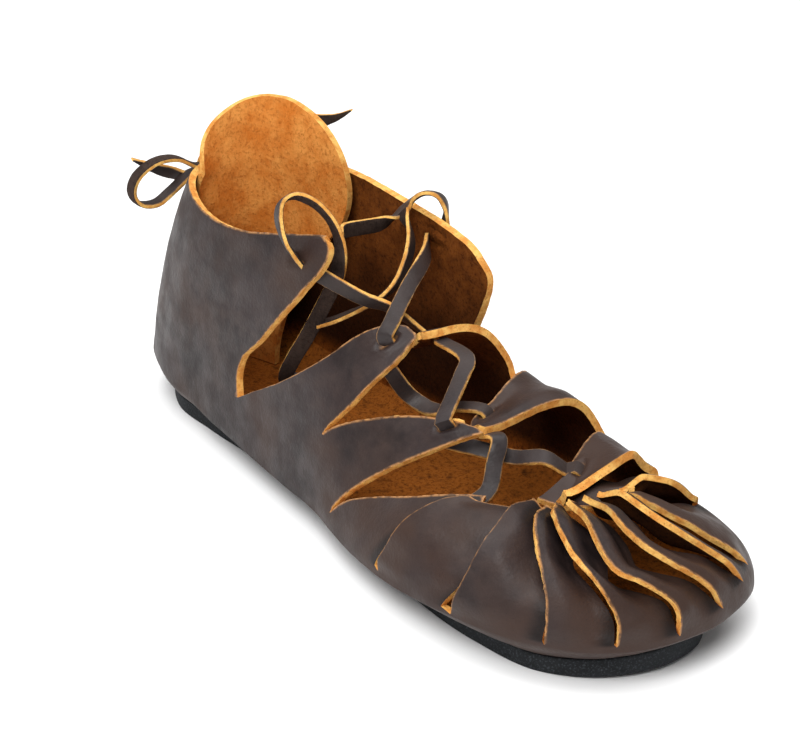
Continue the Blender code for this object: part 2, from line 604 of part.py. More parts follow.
def make_heel_tab(material):
    """The round tab: neck rows, then rows across a round head."""
    neck_angle = -math.acos(TAB_NECK_HALF / TAB_HEAD_WIDE)
    neck_top = TAB_HEAD_Z + TAB_HEAD_TALL * math.sin(neck_angle)
    rows = [(z, TAB_NECK_HALF) for z in np.linspace(TAB_NECK_LOW, neck_top, TAB_NECK_ROWS)[:-1]]
    for angle in np.linspace(neck_angle, math.radians(TAB_HEAD_END), TAB_HEAD_ROWS):
        rows.append((TAB_HEAD_Z + TAB_HEAD_TALL * math.sin(angle), TAB_HEAD_WIDE * math.cos(angle)))
    sheet = bmesh.new()
    below = None
    for z, half_width in rows:
        line = [sheet.verts.new(p) for p in metres(heel_tab_row(z, half_width))]
        if below:
            for j in range(TAB_ACROSS):
                sheet.faces.new((below[j + 1], below[j], line[j], line[j + 1]))
        below = line
    item = add_object("heel_tab", sheet, material)
    wall = item.modifiers.new("thickness", "SOLIDIFY")
    wall.thickness = LEATHER * MM
    wall.offset = -1.0
    return item


def smooth_route(points, step):
    """Rows about a step apart on a smooth curve through a route's rows, which start with x, y and z."""
    points = np.asarray(points, float)
    lengths = np.linalg.norm(np.diff(points[:, 0:3], axis=0), axis=1)
    route = []
    for i, length in enumerate(lengths):
        pieces = max(1, round(length / step))
        for k in range(pieces):
            route.append(edge_point(points, (i + k / pieces) / len(lengths)))
    route.append(points[-1])
    return np.array(route)


def tab_spot(name, across, up):
    """Point and outward normal of a tab's outside at shares across and up it."""
    order = [row[0] for row in TABS]
    k = order.index(name)
    tab = dict(zip(TAB_COLUMNS, TABS[k]))
    following = dict(zip(TAB_COLUMNS, TABS[(k + 1) % len(TABS)]))
    beside = ((0.0, 0.0), (-NEAR_SHARE, 0.0), (NEAR_SHARE, 0.0), (0.0, -NEAR_SHARE), (0.0, NEAR_SHARE))
    points = leather_points([tab_place(tab, following, up + v, across + u) for u, v in beside])
    normal = np.cross(points[2] - points[1], points[4] - points[3])
    normal /= np.linalg.norm(normal)
    place = tab_place(tab, following, up, across)
    facing = last_outward(np.array([place[0]]), np.array([place[1]]))[0]
    return points[0], normal * math.copysign(1.0, normal @ facing)


def tab_side(name, across, up, side):
    """Middle of a lace that lies flat on one side of a tab, and its flat direction."""
    point, normal = tab_spot(name, across, up)
    reach = LACE_CLEAR + LACE_THICK / 2
    offset = reach if side == "out" else -(LEATHER + reach)
    return point + normal * offset, normal


def bar_route(stops):
    """Rows of a bar's middle and flat direction. Free points take theirs from the spots around them."""
    middles, spots, normals = [], [], []
    for i, stop in enumerate(stops):
        if isinstance(stop[0], str):
            middle, normal = tab_side(*stop)
            spots.append(i)
            normals.append(normal)
        else:
            middle = stop
        middles.append(middle)
    order = np.arange(len(stops))
    flat = [np.interp(order, spots, column) for column in np.array(normals).T]
    return smooth_route(np.column_stack([middles, *flat]), BAR_STEP)


def make_bar(name, stops, material):
    """A flat strip swept along its stops."""
    route = bar_route(stops)
    along = np.gradient(route[:, 0:3], axis=0)
    shape = bmesh.new()
    below = None
    for row, forward in zip(route, along):
        middle, flat = row[0:3], row[3:6]
        side = np.cross(forward, flat)
        side *= LACE_WIDTH / 2 / np.linalg.norm(side)
        top = np.cross(side, forward)
        top *= LACE_THICK / 2 / np.linalg.norm(top)
        corners = (middle - side - top, middle + side - top, middle + side + top, middle - side + top)
        ring = [shape.verts.new(p) for p in metres(corners)]
        if below:
            for j in range(4):
                shape.faces.new((below[j - 1], below[j], ring[j], ring[j - 1]))
        else:
            shape.faces.new(ring)
        below = ring
    shape.faces.new(below)
    bmesh.ops.recalc_face_normals(shape, faces=shape.faces)
    return add_object(name, shape, material)


def make_cord(name, points, material):
    """A round tube along a free stretch of the lace."""
    route = metres(smooth_route(points, CORD_STEP))
    curve = bpy.data.curves.new(name, "CURVE")
    curve.dimensions = "3D"
    curve.bevel_depth = CORD_RADIUS * MM
    curve.bevel_resolution = 2
    curve.use_fill_caps = True
    spline = curve.splines.new("POLY")
    spline.points.add(len(route) - 1)
    for place, point in zip(spline.points, route):
        place.co = (*point, 1.0)
    curve.materials.append(material)
    item = bpy.data.objects.new(name, curve)
    bpy.context.scene.collection.objects.link(item)
    return item


def make_knot(material):
    """The knot of the bow, against the back of the heel."""
    place = (np.array([KNOT_RIB]), np.array([KNOT_HEIGHT]))
    outward = last_outward(*place)[0]
    centre = last_point(*place)[0] + outward * (KNOT_SIZE[0] / 2 + LACE_CLEAR)
    shape = bmesh.new()
    bmesh.ops.create_cube(shape, size=1.0)
    bmesh.ops.scale(shape, vec=np.array(KNOT_SIZE) * MM, verts=shape.verts)
    bmesh.ops.bevel(shape, geom=list(shape.edges), offset=KNOT_BEVEL * MM, segments=2, affect="EDGES")
    item = add_object("lace_knot", shape, material)
    item.location = metres([centre])[0]
    item.rotation_euler = (0.0, math.atan2(outward[2], -outward[0]), math.atan2(-outward[1], -outward[0]))
    return item


LEATHER_BROWN = plain_material("leather", (0.075, 0.052, 0.045), 0.5)
SUEDE_TAN = plain_material("suede", (0.45, 0.19, 0.06), 0.9)
LACE_BROWN = plain_material("lace", (0.085, 0.056, 0.045), 0.55)
SOLE_BLACK = plain_material("rubber", (0.010, 0.011, 0.013), 0.85)

make_upper(LEATHER_BROWN)
make_outsole(SOLE_BLACK)
make_heel_tab(SUEDE_TAN)
for bar_name, bar_stops in BARS.items():
    make_bar(bar_name, bar_stops, LACE_BROWN)
for cord_name, cord_points in CORDS.items():
    make_cord(cord_name, cord_points, LACE_BROWN)
make_knot(LACE_BROWN)
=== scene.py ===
"""Looks of the leather sandal: leather, suede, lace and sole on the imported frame, in a plain studio.

Sizes are millimetres in the shoe's own frame, which has x = 0 near the back end of the sole, as in the part's
source. They become metres when a mesh is made.
"""
import math

import bmesh
import bpy
import numpy as np
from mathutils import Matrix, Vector, noise


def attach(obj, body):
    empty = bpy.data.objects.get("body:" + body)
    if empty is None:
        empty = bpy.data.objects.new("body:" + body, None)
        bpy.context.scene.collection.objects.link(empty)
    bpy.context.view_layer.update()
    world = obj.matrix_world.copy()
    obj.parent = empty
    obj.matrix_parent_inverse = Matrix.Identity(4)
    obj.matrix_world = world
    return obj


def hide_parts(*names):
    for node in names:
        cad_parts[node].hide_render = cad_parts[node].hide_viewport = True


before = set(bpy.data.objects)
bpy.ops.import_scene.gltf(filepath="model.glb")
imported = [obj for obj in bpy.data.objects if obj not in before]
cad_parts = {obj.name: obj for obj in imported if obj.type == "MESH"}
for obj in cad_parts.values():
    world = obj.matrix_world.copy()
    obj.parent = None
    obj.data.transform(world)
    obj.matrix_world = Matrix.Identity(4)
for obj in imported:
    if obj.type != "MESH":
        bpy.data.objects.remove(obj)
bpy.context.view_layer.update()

MM = 0.001
BODY = "root"
# The middle of the shoe's box, which is the frame's origin
MIDDLE_X = 124.0
MIDDLE_Y = 0.5

# Leather and sole
LEATHER = 2.6
CLEAR = 0.3
SOLE_THICK = 6.0
SOLE_BEVEL = 0.8
HEEL_FLAT_END = 92.0
BALL_FLAT_START = 148.0
BALL_FLAT_END = 232.0
WAIST_RISE = 1.4
TOE_TIP_X = 262.0
TOE_SPRING = 3.2
TOE_SPRING_BELOW = 1.9
# The spring goes on past the tip up to this share of the toe's length
TOE_SPRING_END = 1.2
UNDER_POWER = 1.45
FOOTBED_INSET = 7.0

# The last: a row for each rib, from the middle of the heel round the outer side, the toe and the inner side
RIB_COLUMNS = ("foot_x", "foot_y", "foot_z", "top_x", "top_y", "top_z", "square", "overhang")
RIBS = (
    ("heel back", -18.5, 0.5, 18, 3, 3, 92, 1.2, 15),
    ("heel outer corner", -11, -22.5, 17, 11, -16.5, 90, 1.2, 11),
    ("heel outer side", 12, -32, 14, 30, -24.5, 85, 1.3, 6),
    ("quarter outer", 40, -34.5, 11.5, 63, -26, 86.5, 1.4, 7),
    ("L0 front", 66, -36.5, 10, 108, -19, 97, 1.5, 10),
    ("L1 front", 126, -41, 9.5, 146, -8, 72, 2, 13),
    ("L2 front", 146, -44.5, 9.5, 187, -11, 53, 1.7, 12),
    ("L3 front", 174, -48.5, 10, 196, -18, 38, 2, 12.5),
    ("T5 edge", 213, -46.5, 13, 208, -11, 39.5, 2.1, 10.5),
    ("T6 edge", 241, -37.5, 14, 213, -10, 41, 2.1, 8),
    ("T7 edge", 257.5, -23, 14, 216, -7, 42.5, 2.1, 8),
    ("T8 edge", 266, -1, 14.5, 218, -2, 43, 2.1, 8),
    ("T9 edge", 264.5, 21, 15, 219.5, 4, 43.5, 2.1, 11),
    ("T10 edge", 258, 37, 15.5, 221, 9, 43.5, 1.85, 18),
    ("T11 edge", 247, 46, 16, 222, 14, 43.5, 1.65, 18.5),
    ("M4 front", 232, 50, 16, 222, 16, 43, 1.55, 14),
    ("M3 front", 212, 49.5, 15, 212, 2, 43.5, 1.85, 10.5),
    ("M2 front", 178, 45, 13, 183, -4, 54.5, 2.5, 12),
    ("M1 front", 138, 41, 12, 138, -2, 69, 2.5, 12),
    ("M1 rear", 121, 38.6, 12, 122, 0, 61, 2.3, 12),
    ("M0 notch", 112, 37.2, 12, 130, 18, 67, 1.8, 12),
    ("M0 front", 103, 35.9, 12, 136.5, 28, 76, 1.15, 11),
    ("M0 shoulder", 86, 34.9, 12, 129, 28, 87, 1.25, 10),
    ("quarter inner", 50, 33.5, 12, 76, 29, 93.5, 1.3, 8),
    ("heel inner side", 12, 31, 14, 32, 27.5, 93, 1.2, 6),
    ("heel inner corner", -11, 23, 17, 12, 19, 92.5, 1.2, 11),
)

# Cut edges of the leather as (rib number, height) from the end of the cut to the tip of the tab or strip
EDGES = {
    "L0 back": ((0.02, 0.04), (0.03, 0.36), (0.05, 0.7), (0.07, 1.0)),
    "L0 front": (
        (4.05, 0.18), (3.97, 0.31), (4.11, 0.44), (4.21, 0.57), (4.28, 0.7), (4.27, 0.83), (3.92, 1.01),
    ),
    "L1 rear": ((4.05, 0.18), (4.52, 0.38), (4.82, 0.62), (4.93, 0.95)),
    "L1 front": ((5.02, 0.36), (5.2, 0.55), (5.18, 0.8), (5.0, 0.98)),
    "L2 rear": ((5.02, 0.36), (5.45, 0.56), (5.7, 0.77), (5.86, 0.94)),
    "L2 front": ((5.72, 0.08), (6.0, 0.34), (6.06, 0.66), (5.97, 0.97)),
    "L3 rear": ((5.72, 0.08), (6.28, 0.34), (6.68, 0.58), (6.98, 0.96)),
    "T4": ((7.05, 0.04), (7.1, 0.3), (7.08, 0.58), (7.0, 0.86)),
    "T5": ((7.98, 0.01), (8.12, 0.26), (8.24, 0.44), (8.28, 0.66), (8.18, 0.97)),
    "T6": ((9.17, 0.01), (9.21, 0.24), (9.1, 0.46), (8.93, 0.68), (8.84, 1.0)),
    "T7": ((10.15, 0.03), (10.17, 0.18), (9.98, 0.36), (9.66, 0.55), (9.46, 0.78), (9.6, 1.0)),
    "T8": ((11.0, 0.03), (10.96, 0.2), (10.62, 0.32), (10.26, 0.42), (10.2, 0.66), (10.5, 1.0)),
    "T9": ((11.82, 0.07), (11.56, 0.25), (11.18, 0.38), (10.9, 0.5), (10.86, 0.7), (11.4, 1.0)),
    "T10": ((12.58, 0.11), (12.2, 0.32), (11.82, 0.46), (11.64, 0.62), (11.74, 0.82), (12.2, 1.0)),
    "T11": ((13.1, 0.14), (12.7, 0.32), (12.36, 0.46), (12.12, 0.61), (12.18, 0.8), (12.9, 1.0)),
    "M4": ((14.95, 0.44), (14.35, 0.6), (13.95, 0.74), (13.8, 0.88), (13.55, 1.0)),
    "M3 front": ((16.08, 0.3), (16.14, 0.5), (16.0, 0.77), (15.9, 1.1)),
    "M3 rear": ((16.9, 0.12), (16.76, 0.46), (16.42, 0.78), (16.16, 1.05)),
    "M2 front": ((16.9, 0.12), (17.0, 0.42), (17.02, 0.75), (17.06, 1.08)),
    "M2 rear": ((18.0, 0.38), (17.66, 0.52), (17.36, 0.8), (17.26, 1.02)),
    "M1 front": ((18.0, 0.38), (18.02, 0.58), (18.02, 0.8), (18.0, 1.0)),
    "M1 rear": ((20.5, 0.22), (19.6, 0.42), (19.15, 0.66), (18.8, 0.94)),
    "M0 front": ((20.5, 0.22), (20.95, 0.48), (21.12, 0.68), (21.22, 0.84), (21.45, 0.95), (22.0, 1.0)),
    "M0 back": ((25.98, 0.04), (25.97, 0.36), (25.95, 0.7), (25.93, 1.0)),
}
# Tabs and strips in order round the shoe. Lift is how far the first edge rides up over the neighbour before
# it, sink how far the second edge dips below the last, droop how far the tip hangs down, and curl how far the
# end turns in. A second edge with no name is tucked under the next strip. Across and up are the cells of the
# part's own grid.
TAB_COLUMNS = (
    "name", "first_edge", "second_edge", "lift", "sink", "droop", "curl", "across", "up", "rounded_tip",
)
TABS = (
    ("L0", "L0 back", "L0 front", 0, 0, 0, 0, 18, 9, False),
    ("L1", "L1 rear", "L1 front", 0, 0, 0, 0, 8, 9, True),
    ("L2", "L2 rear", "L2 front", 0, 0, 0, 0, 6, 10, True),
    ("L3", "L3 rear", None, 0, 0, 0, 0, 7, 9, False),
    ("T4", "T4", None, 4.6, 3.5, 0, 2, 6, 10, False),
    ("T5", "T5", None, 7, 4, 0, 5, 6, 10, False),
    ("T6", "T6", None, 5.5, 5.5, 0, 6, 5, 11, False),
    ("T7", "T7", None, 5.5, 5.5, 0, 6, 5, 11, False),
    ("T8", "T8", None, 5.5, 5.5, 0, 6, 5, 11, False),
    ("T9", "T9", None, 5.5, 5.5, 0, 6, 5, 11, False),
    ("T10", "T10", None, 5.5, 5, 0, 6, 5, 11, False),
    ("T11", "T11", None, 3, 4, 0, 6, 5, 11, False),
    ("M4", "M4", None, 5, 3, 0, 6, 6, 11, False),
    ("M3", "M3 front", "M3 rear", 9, 0, 10, 0, 7, 11, True),
    ("M2", "M2 front", "M2 rear", 4.5, 5, 8, 0, 7, 11, True),
    ("M1", "M1 front", "M1 rear", 1.5, 0, 2, 0, 7, 10, True),
    ("M0", "M0 front", "M0 back", 0, 0, 0, 0, 18, 9, False),
)
# Rib numbers that a strip goes on under the next one, and that its cut leaves open
TUCK = 0.30
SLIT_GAP = 0.035
# Cuts that stand open at their lower end, by the strip before them
ROOT_GAPS = {"L3": 0.02, "T4": 0.085}
ROOT_GAP_END = 0.45
# Shares of a tab's length over which it lifts, tucks under, droops, curls, dips and gets round, and of its
# width for the dip across
LOW_LIFT_SHARE = 0.35
LOW_LIFT_FULL = 0.14
HIGH_LIFT = (0.18, 0.56)
TUCKED = (0.54, 0.78)
DROOP_START = 0.45
CURL_START = 0.78
DIP_ACROSS = (0.25, 0.80)
DIP_END = 0.75
DIP_LEFT = 0.40
TIP_START = 0.82
TIP_WIDTH = 0.55
# Heights of the rings below the tabs: a share of the cut's height, then from the wall's foot to the sole
WALL_LEVELS = (0.5, 0.0, -0.4, -0.75, -1.0)
# The sole stands this far out past the leather's flat, and an edge is sharp from this angle
SOLE_MARGIN = 1.0
SHARP_ANGLE = 40.0
# Each cell of the part's grid is cut into this many cells each way
FINE = 4
# Steps along the sole, samples of its outline and steps round its bevel
SOLE_STEPS = 140
SOLE_SAMPLES = 1200
SOLE_TURNS = 4

# Heel tab: a round head on a neck
TAB_PLAN = ((7.5, -21.0), (18.0, 12.0), (58.0, 25.0))
TAB_HEAD_WIDE = 35.3
TAB_HEAD_TALL = 29.5
TAB_HEAD_Z = 88.0
TAB_SHIFT = 2.4
TAB_NECK_HALF = 15.0
TAB_NECK_LOW = 9.4
TAB_SPRING = (16.0, 6.0)
TAB_SPRING_END = 75.0
TAB_ACROSS = 44
TAB_NECK_ROWS = 26
TAB_HEAD_ROWS = 48
TAB_HEAD_END = 84.0
TAB_PLAN_SAMPLES = 200
# Part of the wall round the tab, as rib numbers that go on past the last rib, and its samples
WALL_RIBS = (23.0, 29.2)
WALL_COLUMNS = 160
WALL_ROWS = 40
# The tab lies this far inside the wall's outside, bends in over a short way and clears the top line over
# a height
TAB_INSIDE = LEATHER + 0.35
TAB_BEND = 5.0
TAB_CLEARS = 26.0

# Relief of the leather's outside: soft hand-worked waves, and the wander of the cut edges
WAVE_SIZE = 24.0
WAVE_DEPTH = 0.55
RIPPLE_SIZE = 8.0
RIPPLE_DEPTH = 0.16
WANDER_SIZE = 1.5
WANDER = 0.24
TAB_WANDER = 0.06
WANDER_REACH = 2.2
# Start of the random draws for the wander, so that each run gives the same shape
WANDER_SEED = 16
# The leather on the sole keeps its shape up to this height
STILL_BELOW = SOLE_THICK + 2.0

# Distance from a cut that counts as far from any
FAR = 99.0
# Distances up a tab between which its paler pull-up comes and goes
PULL_COMES = (4.0, 26.0)
PULL_GOES = (30.0, 62.0)
# Strips whose first edge is turned under, so that it shows no cut but a near-black painted shade, the width
# of their pale crest, which is pull-up with a painted highlight, and the distance from a cut that the turn
# counts as
FOLDED_TABS = ("T4", "T5")
FOLD_CREST = 7.0
FOLD_RUB = 0.45
# Distances from the strip that lies over another one, between which the painted shade on the lower one fades,
# and the share of the leather's dark colour that this painted shade has
PAINTED_SHADE_REACH = (1.5, 9.0)
PAINTED_SHADE_SHARE = 0.3
# Share of the thickness that is left at the cut edges of the gathered strips, and how far in they are thinner
EDGE_SHARE = 0.74
EDGE_REACH = 5.0
# Sides of a leather piece in its list of materials
GRAIN_SIDE = 0
SUEDE_SIDE = 1
CUT_SIDE = 2
# The face of a turned-under edge, which gets the near-black painted shade
FOLD_SHADE_SIDE = 3
# Fibres of a cut edge: cuts across the thickness, and the depth and size of coarse and fine lumps
RIM_CUTS = 3
FRAY = 0.36
FRAY_SIZE = 0.9
FINE_FRAY_SHARE = 0.5
FINE_FRAY_SIZE = 0.4 * FRAY_SIZE

# Lace
LACE_WIDTH = 5.4
LACE_THICK = 1.8
LACE_CLEAR = 0.35
LACE_STEP = 1.3
# Free stretches of the lace: points of the part's route, some of them run on into a slit or the knot, then
# the plan angle and the tilt of the lace's width
FREE_LACES = {
    "lace_loop_outer": (
        (97, -23.3, 83.4, -15, 0), (96.3, -25.4, 87.2, -25, 0), (94.5, -28.5, 93, -25, 18),
        (90, -28, 99.5, -12, 28), (87, -25, 104, -8, 32), (88.5, -20.5, 106, -8, 32),
        (93, -16, 104, -8, 30), (98.5, -13, 99, -8, 20), (102.5, -12, 92, 0, 8), (103, -12.5, 84.5, 20, 0),
        (100.4, -13, 76.6, 40, 0), (96.5, -14.5, 68, 45, 0), (92.6, -16, 60.2, 45, 0),
        (88.2, -17.5, 52, 45, 0), (83.8, -19, 44.4, 45, 0), (79, -19.5, 36.5, 45, 0), (75, -17, 31, 60, 0),
        (71, -12.5, 31, 80, 0),
    ),
    "lace_loop_inner": (
        (101.5, -10.9, 92.4, 49, 80), (96, -6.5, 92.5, 49, 80), (91.5, 4, 90, 49, 85),
        (89.5, 13, 88.5, 40, 80), (91, 19, 90.5, 10, 30), (93.5, 22, 93.8, -20, 0),
        (94.5, 24.2, 96.8, -45, 10), (97.5, 27, 99.4, -55, 18), (101.5, 29.8, 99.2, -55, 18),
        (103.5, 31.6, 95.3, -45, 8), (104, 31.2, 90, -20, 0), (104.3, 30.2, 86.6, -5, 0),
        (104.4, 27.6, 84.6, 0, 0),
    ),
    "lace_loop_throat": (
        (94.3, 20, 93, 5, 10), (101.6, 18, 87.8, -50, 20), (105.7, 14, 81.4, -65, 24),
        (107.3, 8, 73.8, -62, 22), (105.5, 0, 68.2, -50, 14), (100, -9.5, 63, -45, 5),
        (95, -12.8, 60, -45, 5), (91, -13.6, 58, -45, 5), (86.5, -14.6, 56, -45, 5),
    ),
    "lace_bow_outer": (
        (-5, 1, 85.4, 0, 0), (-5, -4.9, 86, 0, 0), (-7.5, -11.5, 89.5, 0, 0), (-10, -19, 89, 0, 0),
        (-11.5, -26, 84.5, 0, 0), (-12, -28.5, 78.5, 0, 0), (-11.5, -26, 73.5, 0, 0),
        (-10.5, -19.5, 72.5, 0, 0), (-9.5, -13, 76.5, 0, 0), (-8.5, -6.5, 81.5, 0, 0),
        (-8.5, -1, 83, 0, 20), (-10.5, -4.5, 80, 0, 40), (-13.5, -9.5, 81.5, 0, 60),
        (-15, -17.5, 85, 0, 70), (-15, -26, 90, 0, 70),
    ),
    "lace_bow_inner": (
        (-5, 4.6, 85.6, 0, 0), (-5, 9.9, 86, 0, 0), (-6, 18, 89, 0, 0), (-5, 27, 88.5, 0, 0),
        (-2.5, 33.5, 84, 0, 0), (-1.5, 36, 78, 0, 0), (-3.5, 33, 73, 0, 0), (-7, 26.5, 72.5, 0, 0),
        (-9, 19.5, 76, 0, 0), (-8.2, 13, 81, 0, 0), (-6, 5.6, 84.2, 0, 0),
    ),
    "lace_end_inner": (
        (-4.8, 5, 86.6, 0, 60), (-4.5, 11, 89.5, 0, 80), (-3.5, 19, 94, 0, 80), (4, 28.5, 98, 0, 85),
        (15, 34, 101, 0, 85), (25, 38, 104.5, 0, 85), (31, 42, 108.5, 0, 85),
    ),
}
# The nodes of the part that each free stretch stands for, and how its far end goes on
FREE_COLUMNS = ("nodes", "far_end", "lay", "pointed")
FREE_FACTS = {
    "lace_loop_outer": (("lace_loop_outer",), "object", "hanging", False),
    "lace_loop_inner": (("lace_loop_inner",), "object", "loose", False),
    "lace_loop_throat": (("lace_loop_throat",), "object", "hanging", False),
    "lace_bow_outer": (("lace_bow_outer", "lace_end_outer"), "bare", "loose", True),
    "lace_bow_inner": (("lace_bow_inner",), "object", "loose", False),
    "lace_end_inner": (("lace_end_inner",), "bare", "loose", True),
}
# Crossings of the lace. A stop is a point of the shoe's frame, or a spot of a tab: the share across it from
# its first edge, the share up it, and the side of the leather that the lace lies on, or the slit that it
# goes through.
BARS = {
    "lace_bar_1": (
        ("L0", 0.97, 0.76, "in"), (115, -12, 76), (122.5, -5, 73), ("M1", 0.44, 0.93, "out"),
        ("M1", 0.26, 0.88, "slit"),
    ),
    "lace_bar_2": (
        ("L1", 0.54, 0.85, "slit"), ("L1", 0.40, 0.87, "out"), ("L1", 0.06, 0.95, "out"), (123, 1.5, 79),
        (111.5, 17, 82.5), ("M0", 0.24, 0.72, "in"),
    ),
    "lace_bar_3": (
        ("M1", 0.14, 0.88, "in"), (151, 5.1, 63), (158, -2.4, 60), ("L2", 0.00, 0.80, "out"),
        ("L2", 0.22, 0.80, "out"), ("L2", 0.36, 0.80, "slit"),
    ),
    "lace_bar_4": (
        ("L1", 0.90, 0.66, "in"), (142.3, -12, 50.7), (150.9, -8, 47.4), (160, -4, 51),
        ("M2", 0.85, 0.86, "out"), ("M2", 0.72, 0.85, "slit"),
    ),
    "lace_bar_5": (
        ("M2", 0.35, 0.96, "in"), (184, -6.5, 50), (187.5, -11, 43.7), (190.5, -15.5, 37),
        ("L3", 0.30, 0.92, "in"),
    ),
    "lace_bar_6": (
        ("L2", 0.60, 0.74, "in"), (176, -10, 44.5), (187, -3, 43.5), (198, 0.8, 47),
        ("M3", 0.92, 0.74, "out"), ("M3", 0.74, 0.72, "out"), ("M3", 0.60, 0.71, "slit"),
    ),
}
# Slits: how far their dent reaches, its depth and width, and the height of the lips
SLIT_REACH = 8.0
SLIT_DEPTH = 1.0
SLIT_WIDE = 1.2
SLIT_LIP = 0.5
# Distance from a cut at a slit's middle, and how fast it grows away from there
SLIT_RUB = 0.3
SLIT_RUB_GROWTH = 0.5
# Slits where the loops go through a quarter: the middle, the direction and the leather's outward direction
LOOP_SLITS = (
    ((95.9, -24.6, 86.0), (0.98, -0.12, 0.0), (0.07, -0.96, 0.27)),
    ((104.3, 29.2, 85.8), (1.0, 0.0, 0.0), (0.03, 0.99, 0.12)),
)
# Section of the flat lace as (share of the width, share of the thickness) from one edge over the top
LACE_TOP = ((-0.50, 0.30), (-0.46, 0.44), (-0.20, 0.52), (0.20, 0.52), (0.46, 0.44), (0.50, 0.30))
LACE_SECTION = LACE_TOP + tuple((-across, -up) for across, up in LACE_TOP)
# A pointed end narrows over its length to a share of the width
POINT_LENGTH = 16.0
POINT_WIDTH = 0.12
LACE_WANDER = 0.10

# Knot of the bow: its middle, half its depth and height, and the shift and slant of the bands wound round it
KNOT_MIDDLE = (-4.8, 2.6, 85.2)
KNOT_ACROSS = (3.0, 4.1)
KNOT_BANDS = ((-2.2, 14.0), (2.4, -12.0))
KNOT_STEPS = 48

# Heights over which the foot bed's own colour ends and the painted shade low on the walls fades out, and the
# part of the width over which the leather gets browner towards the inner side
BED_LOW = 11.0
BED_HIGH = 22.0
WALL_SHADE_LOW = 34.0
WALL_SHADE_HIGH = 84.0
INNER_FROM = -20.0
INNER_TO = 30.0

# The photograph's camera, in the shoe's frame, and the frame round the one shoe
PHOTO_AZIMUTH = 49.67
PHOTO_ELEVATION = 26.5
PHOTO_DISTANCE = 729.58
PHOTO_TARGET = (170.57, 31.83, 40.0)
AIM = (122.0, -1.0, 47.0)
LENS = 98.0
CLIP_START = 0.01

# Studio: pale floor, white surroundings and soft lamps given by place, size and power
FLOOR_HALF = 3.0
FLOOR_PALE = (0.95, 0.95, 0.95)
FLOOR_CLOUD = 0.98
FLOOR_CLOUD_SIZE = 300.0
WORLD_LIGHT = 0.26
LAMPS = (
    ("key", (0.55, -0.75, 1.15), 0.9, 17.0),
    ("heel", (-0.95, -0.55, 0.70), 0.8, 3.0),
)
# Wide even light from above, so that the floor is as pale far away as it is near
SKY_FROM = (-0.15, 0.25, 1.30)
SKY_ANGLE = 65.0
SKY_POWER = 2.4


def closed_curve(knots, period, values):
    """A smooth closed curve through values at knots, for rows of numbers."""
    step = np.diff(np.append(knots, knots[0] + period))
    slope = (np.roll(values, -1, 0) - values) / step[:, None]
    back_step = np.roll(step, 1)
    back_slope = np.roll(slope, 1, 0)
    tangent = (slope * back_step[:, None] + back_slope * step[:, None]) / (step + back_step)[:, None]

    def at(t):
        t = np.mod(t, period)
        i = np.clip(np.searchsorted(knots, t, side="right") - 1, 0, len(knots) - 1)
        j = (i + 1) % len(knots)
        h = step[i][:, None]
        u = ((t - knots[i]) / step[i])[:, None]
        return (
            values[i] * (2 * u**3 - 3 * u**2 + 1)
            + tangent[i] * h * (u**3 - 2 * u**2 + u)
            + values[j] * (3 * u**2 - 2 * u**3)
            + tangent[j] * h * (u**3 - u**2)
        )

    return at


RIB_VALUES = np.array([row[1:] for row in RIBS], float)
FOOT = slice(0, 3)
TOP = slice(3, 6)
SQUARE = RIB_COLUMNS.index("square")
OVERHANG = RIB_COLUMNS.index("overhang")
FEET = RIB_VALUES[:, FOOT]
RIB_STEPS = np.linalg.norm(np.roll(FEET, -1, 0) - FEET, axis=1)
RIB_KNOTS = np.concatenate([[0.0], np.cumsum(RIB_STEPS)[:-1]])
GIRTH = float(RIB_STEPS.sum())
rib_curve = closed_curve(RIB_KNOTS, GIRTH, RIB_VALUES)
RIB_COUNT = len(RIBS)
RIB_SAMPLES = 97
# A tab longer than its rib goes on in the direction of the rib's last samples
RIB_END_SAMPLES = 9
# Steps to the neighbours that a direction is taken from: round the girth, of a rib number, of a height and
# of a share of a tab
GIRTH_NEAR = 0.5
RIB_NEAR = 0.02
HEIGHT_NEAR = 0.01
SHARE_NEAR = 0.02
# The ribs run with the outer side first, which sets the sign of the outward direction
TURN = -1.0 if FEET[1, 1] < FEET[0, 1] else 1.0


def ease(value, start, end):
    """Smooth step from 0 at start to 1 at end."""
    u = np.clip((value - start) / (end - start), 0.0, 1.0)
    return u * u * (3.0 - 2.0 * u)


def metres(points):
    """Points of the shoe's frame as metres about the origin."""
    return (np.asarray(points, float) - (MIDDLE_X, MIDDLE_Y, 0.0)) * MM


def unit(rows):
    """Rows scaled to length 1."""
    rows = np.asarray(rows, float)
    return rows / np.maximum(np.linalg.norm(rows, axis=-1, keepdims=True), 1e-9)


def toe_rise(x, spring=TOE_SPRING):
    """Height that the toe spring adds in front of the ball."""
    share = np.clip((x - BALL_FLAT_END) / (TOE_TIP_X - BALL_FLAT_END), 0.0, TOE_SPRING_END)
    return spring * share**2


def sole_bottom(x):
    """Height of the sole's underside: flat heel and ball, a low waist and some toe spring."""
    middle = (HEEL_FLAT_END + BALL_FLAT_START) / 2
    waist = ease(x, HEEL_FLAT_END, middle) * (1.0 - ease(x, middle, BALL_FLAT_START))
    return WAIST_RISE * waist + toe_rise(x, TOE_SPRING_BELOW)


def footbed_height(x):
    """Height of the leather's underside where it lies on the sole."""
    return SOLE_THICK + toe_rise(x) + CLEAR


def girth_at(rib):
    """Millimetres round the foot of the wall at a rib number, which may be fractional."""
    places = np.append(RIB_KNOTS, GIRTH)
    return np.interp(np.mod(rib, RIB_COUNT), np.arange(RIB_COUNT + 1), places)


def foot_outward(t):
    """Level direction pointing out of the wall at its foot."""
    along = unit(rib_curve(t + GIRTH_NEAR)[:, 0:2] - rib_curve(t - GIRTH_NEAR)[:, 0:2])
    return np.stack([-along[:, 1], along[:, 0]], axis=1) * TURN


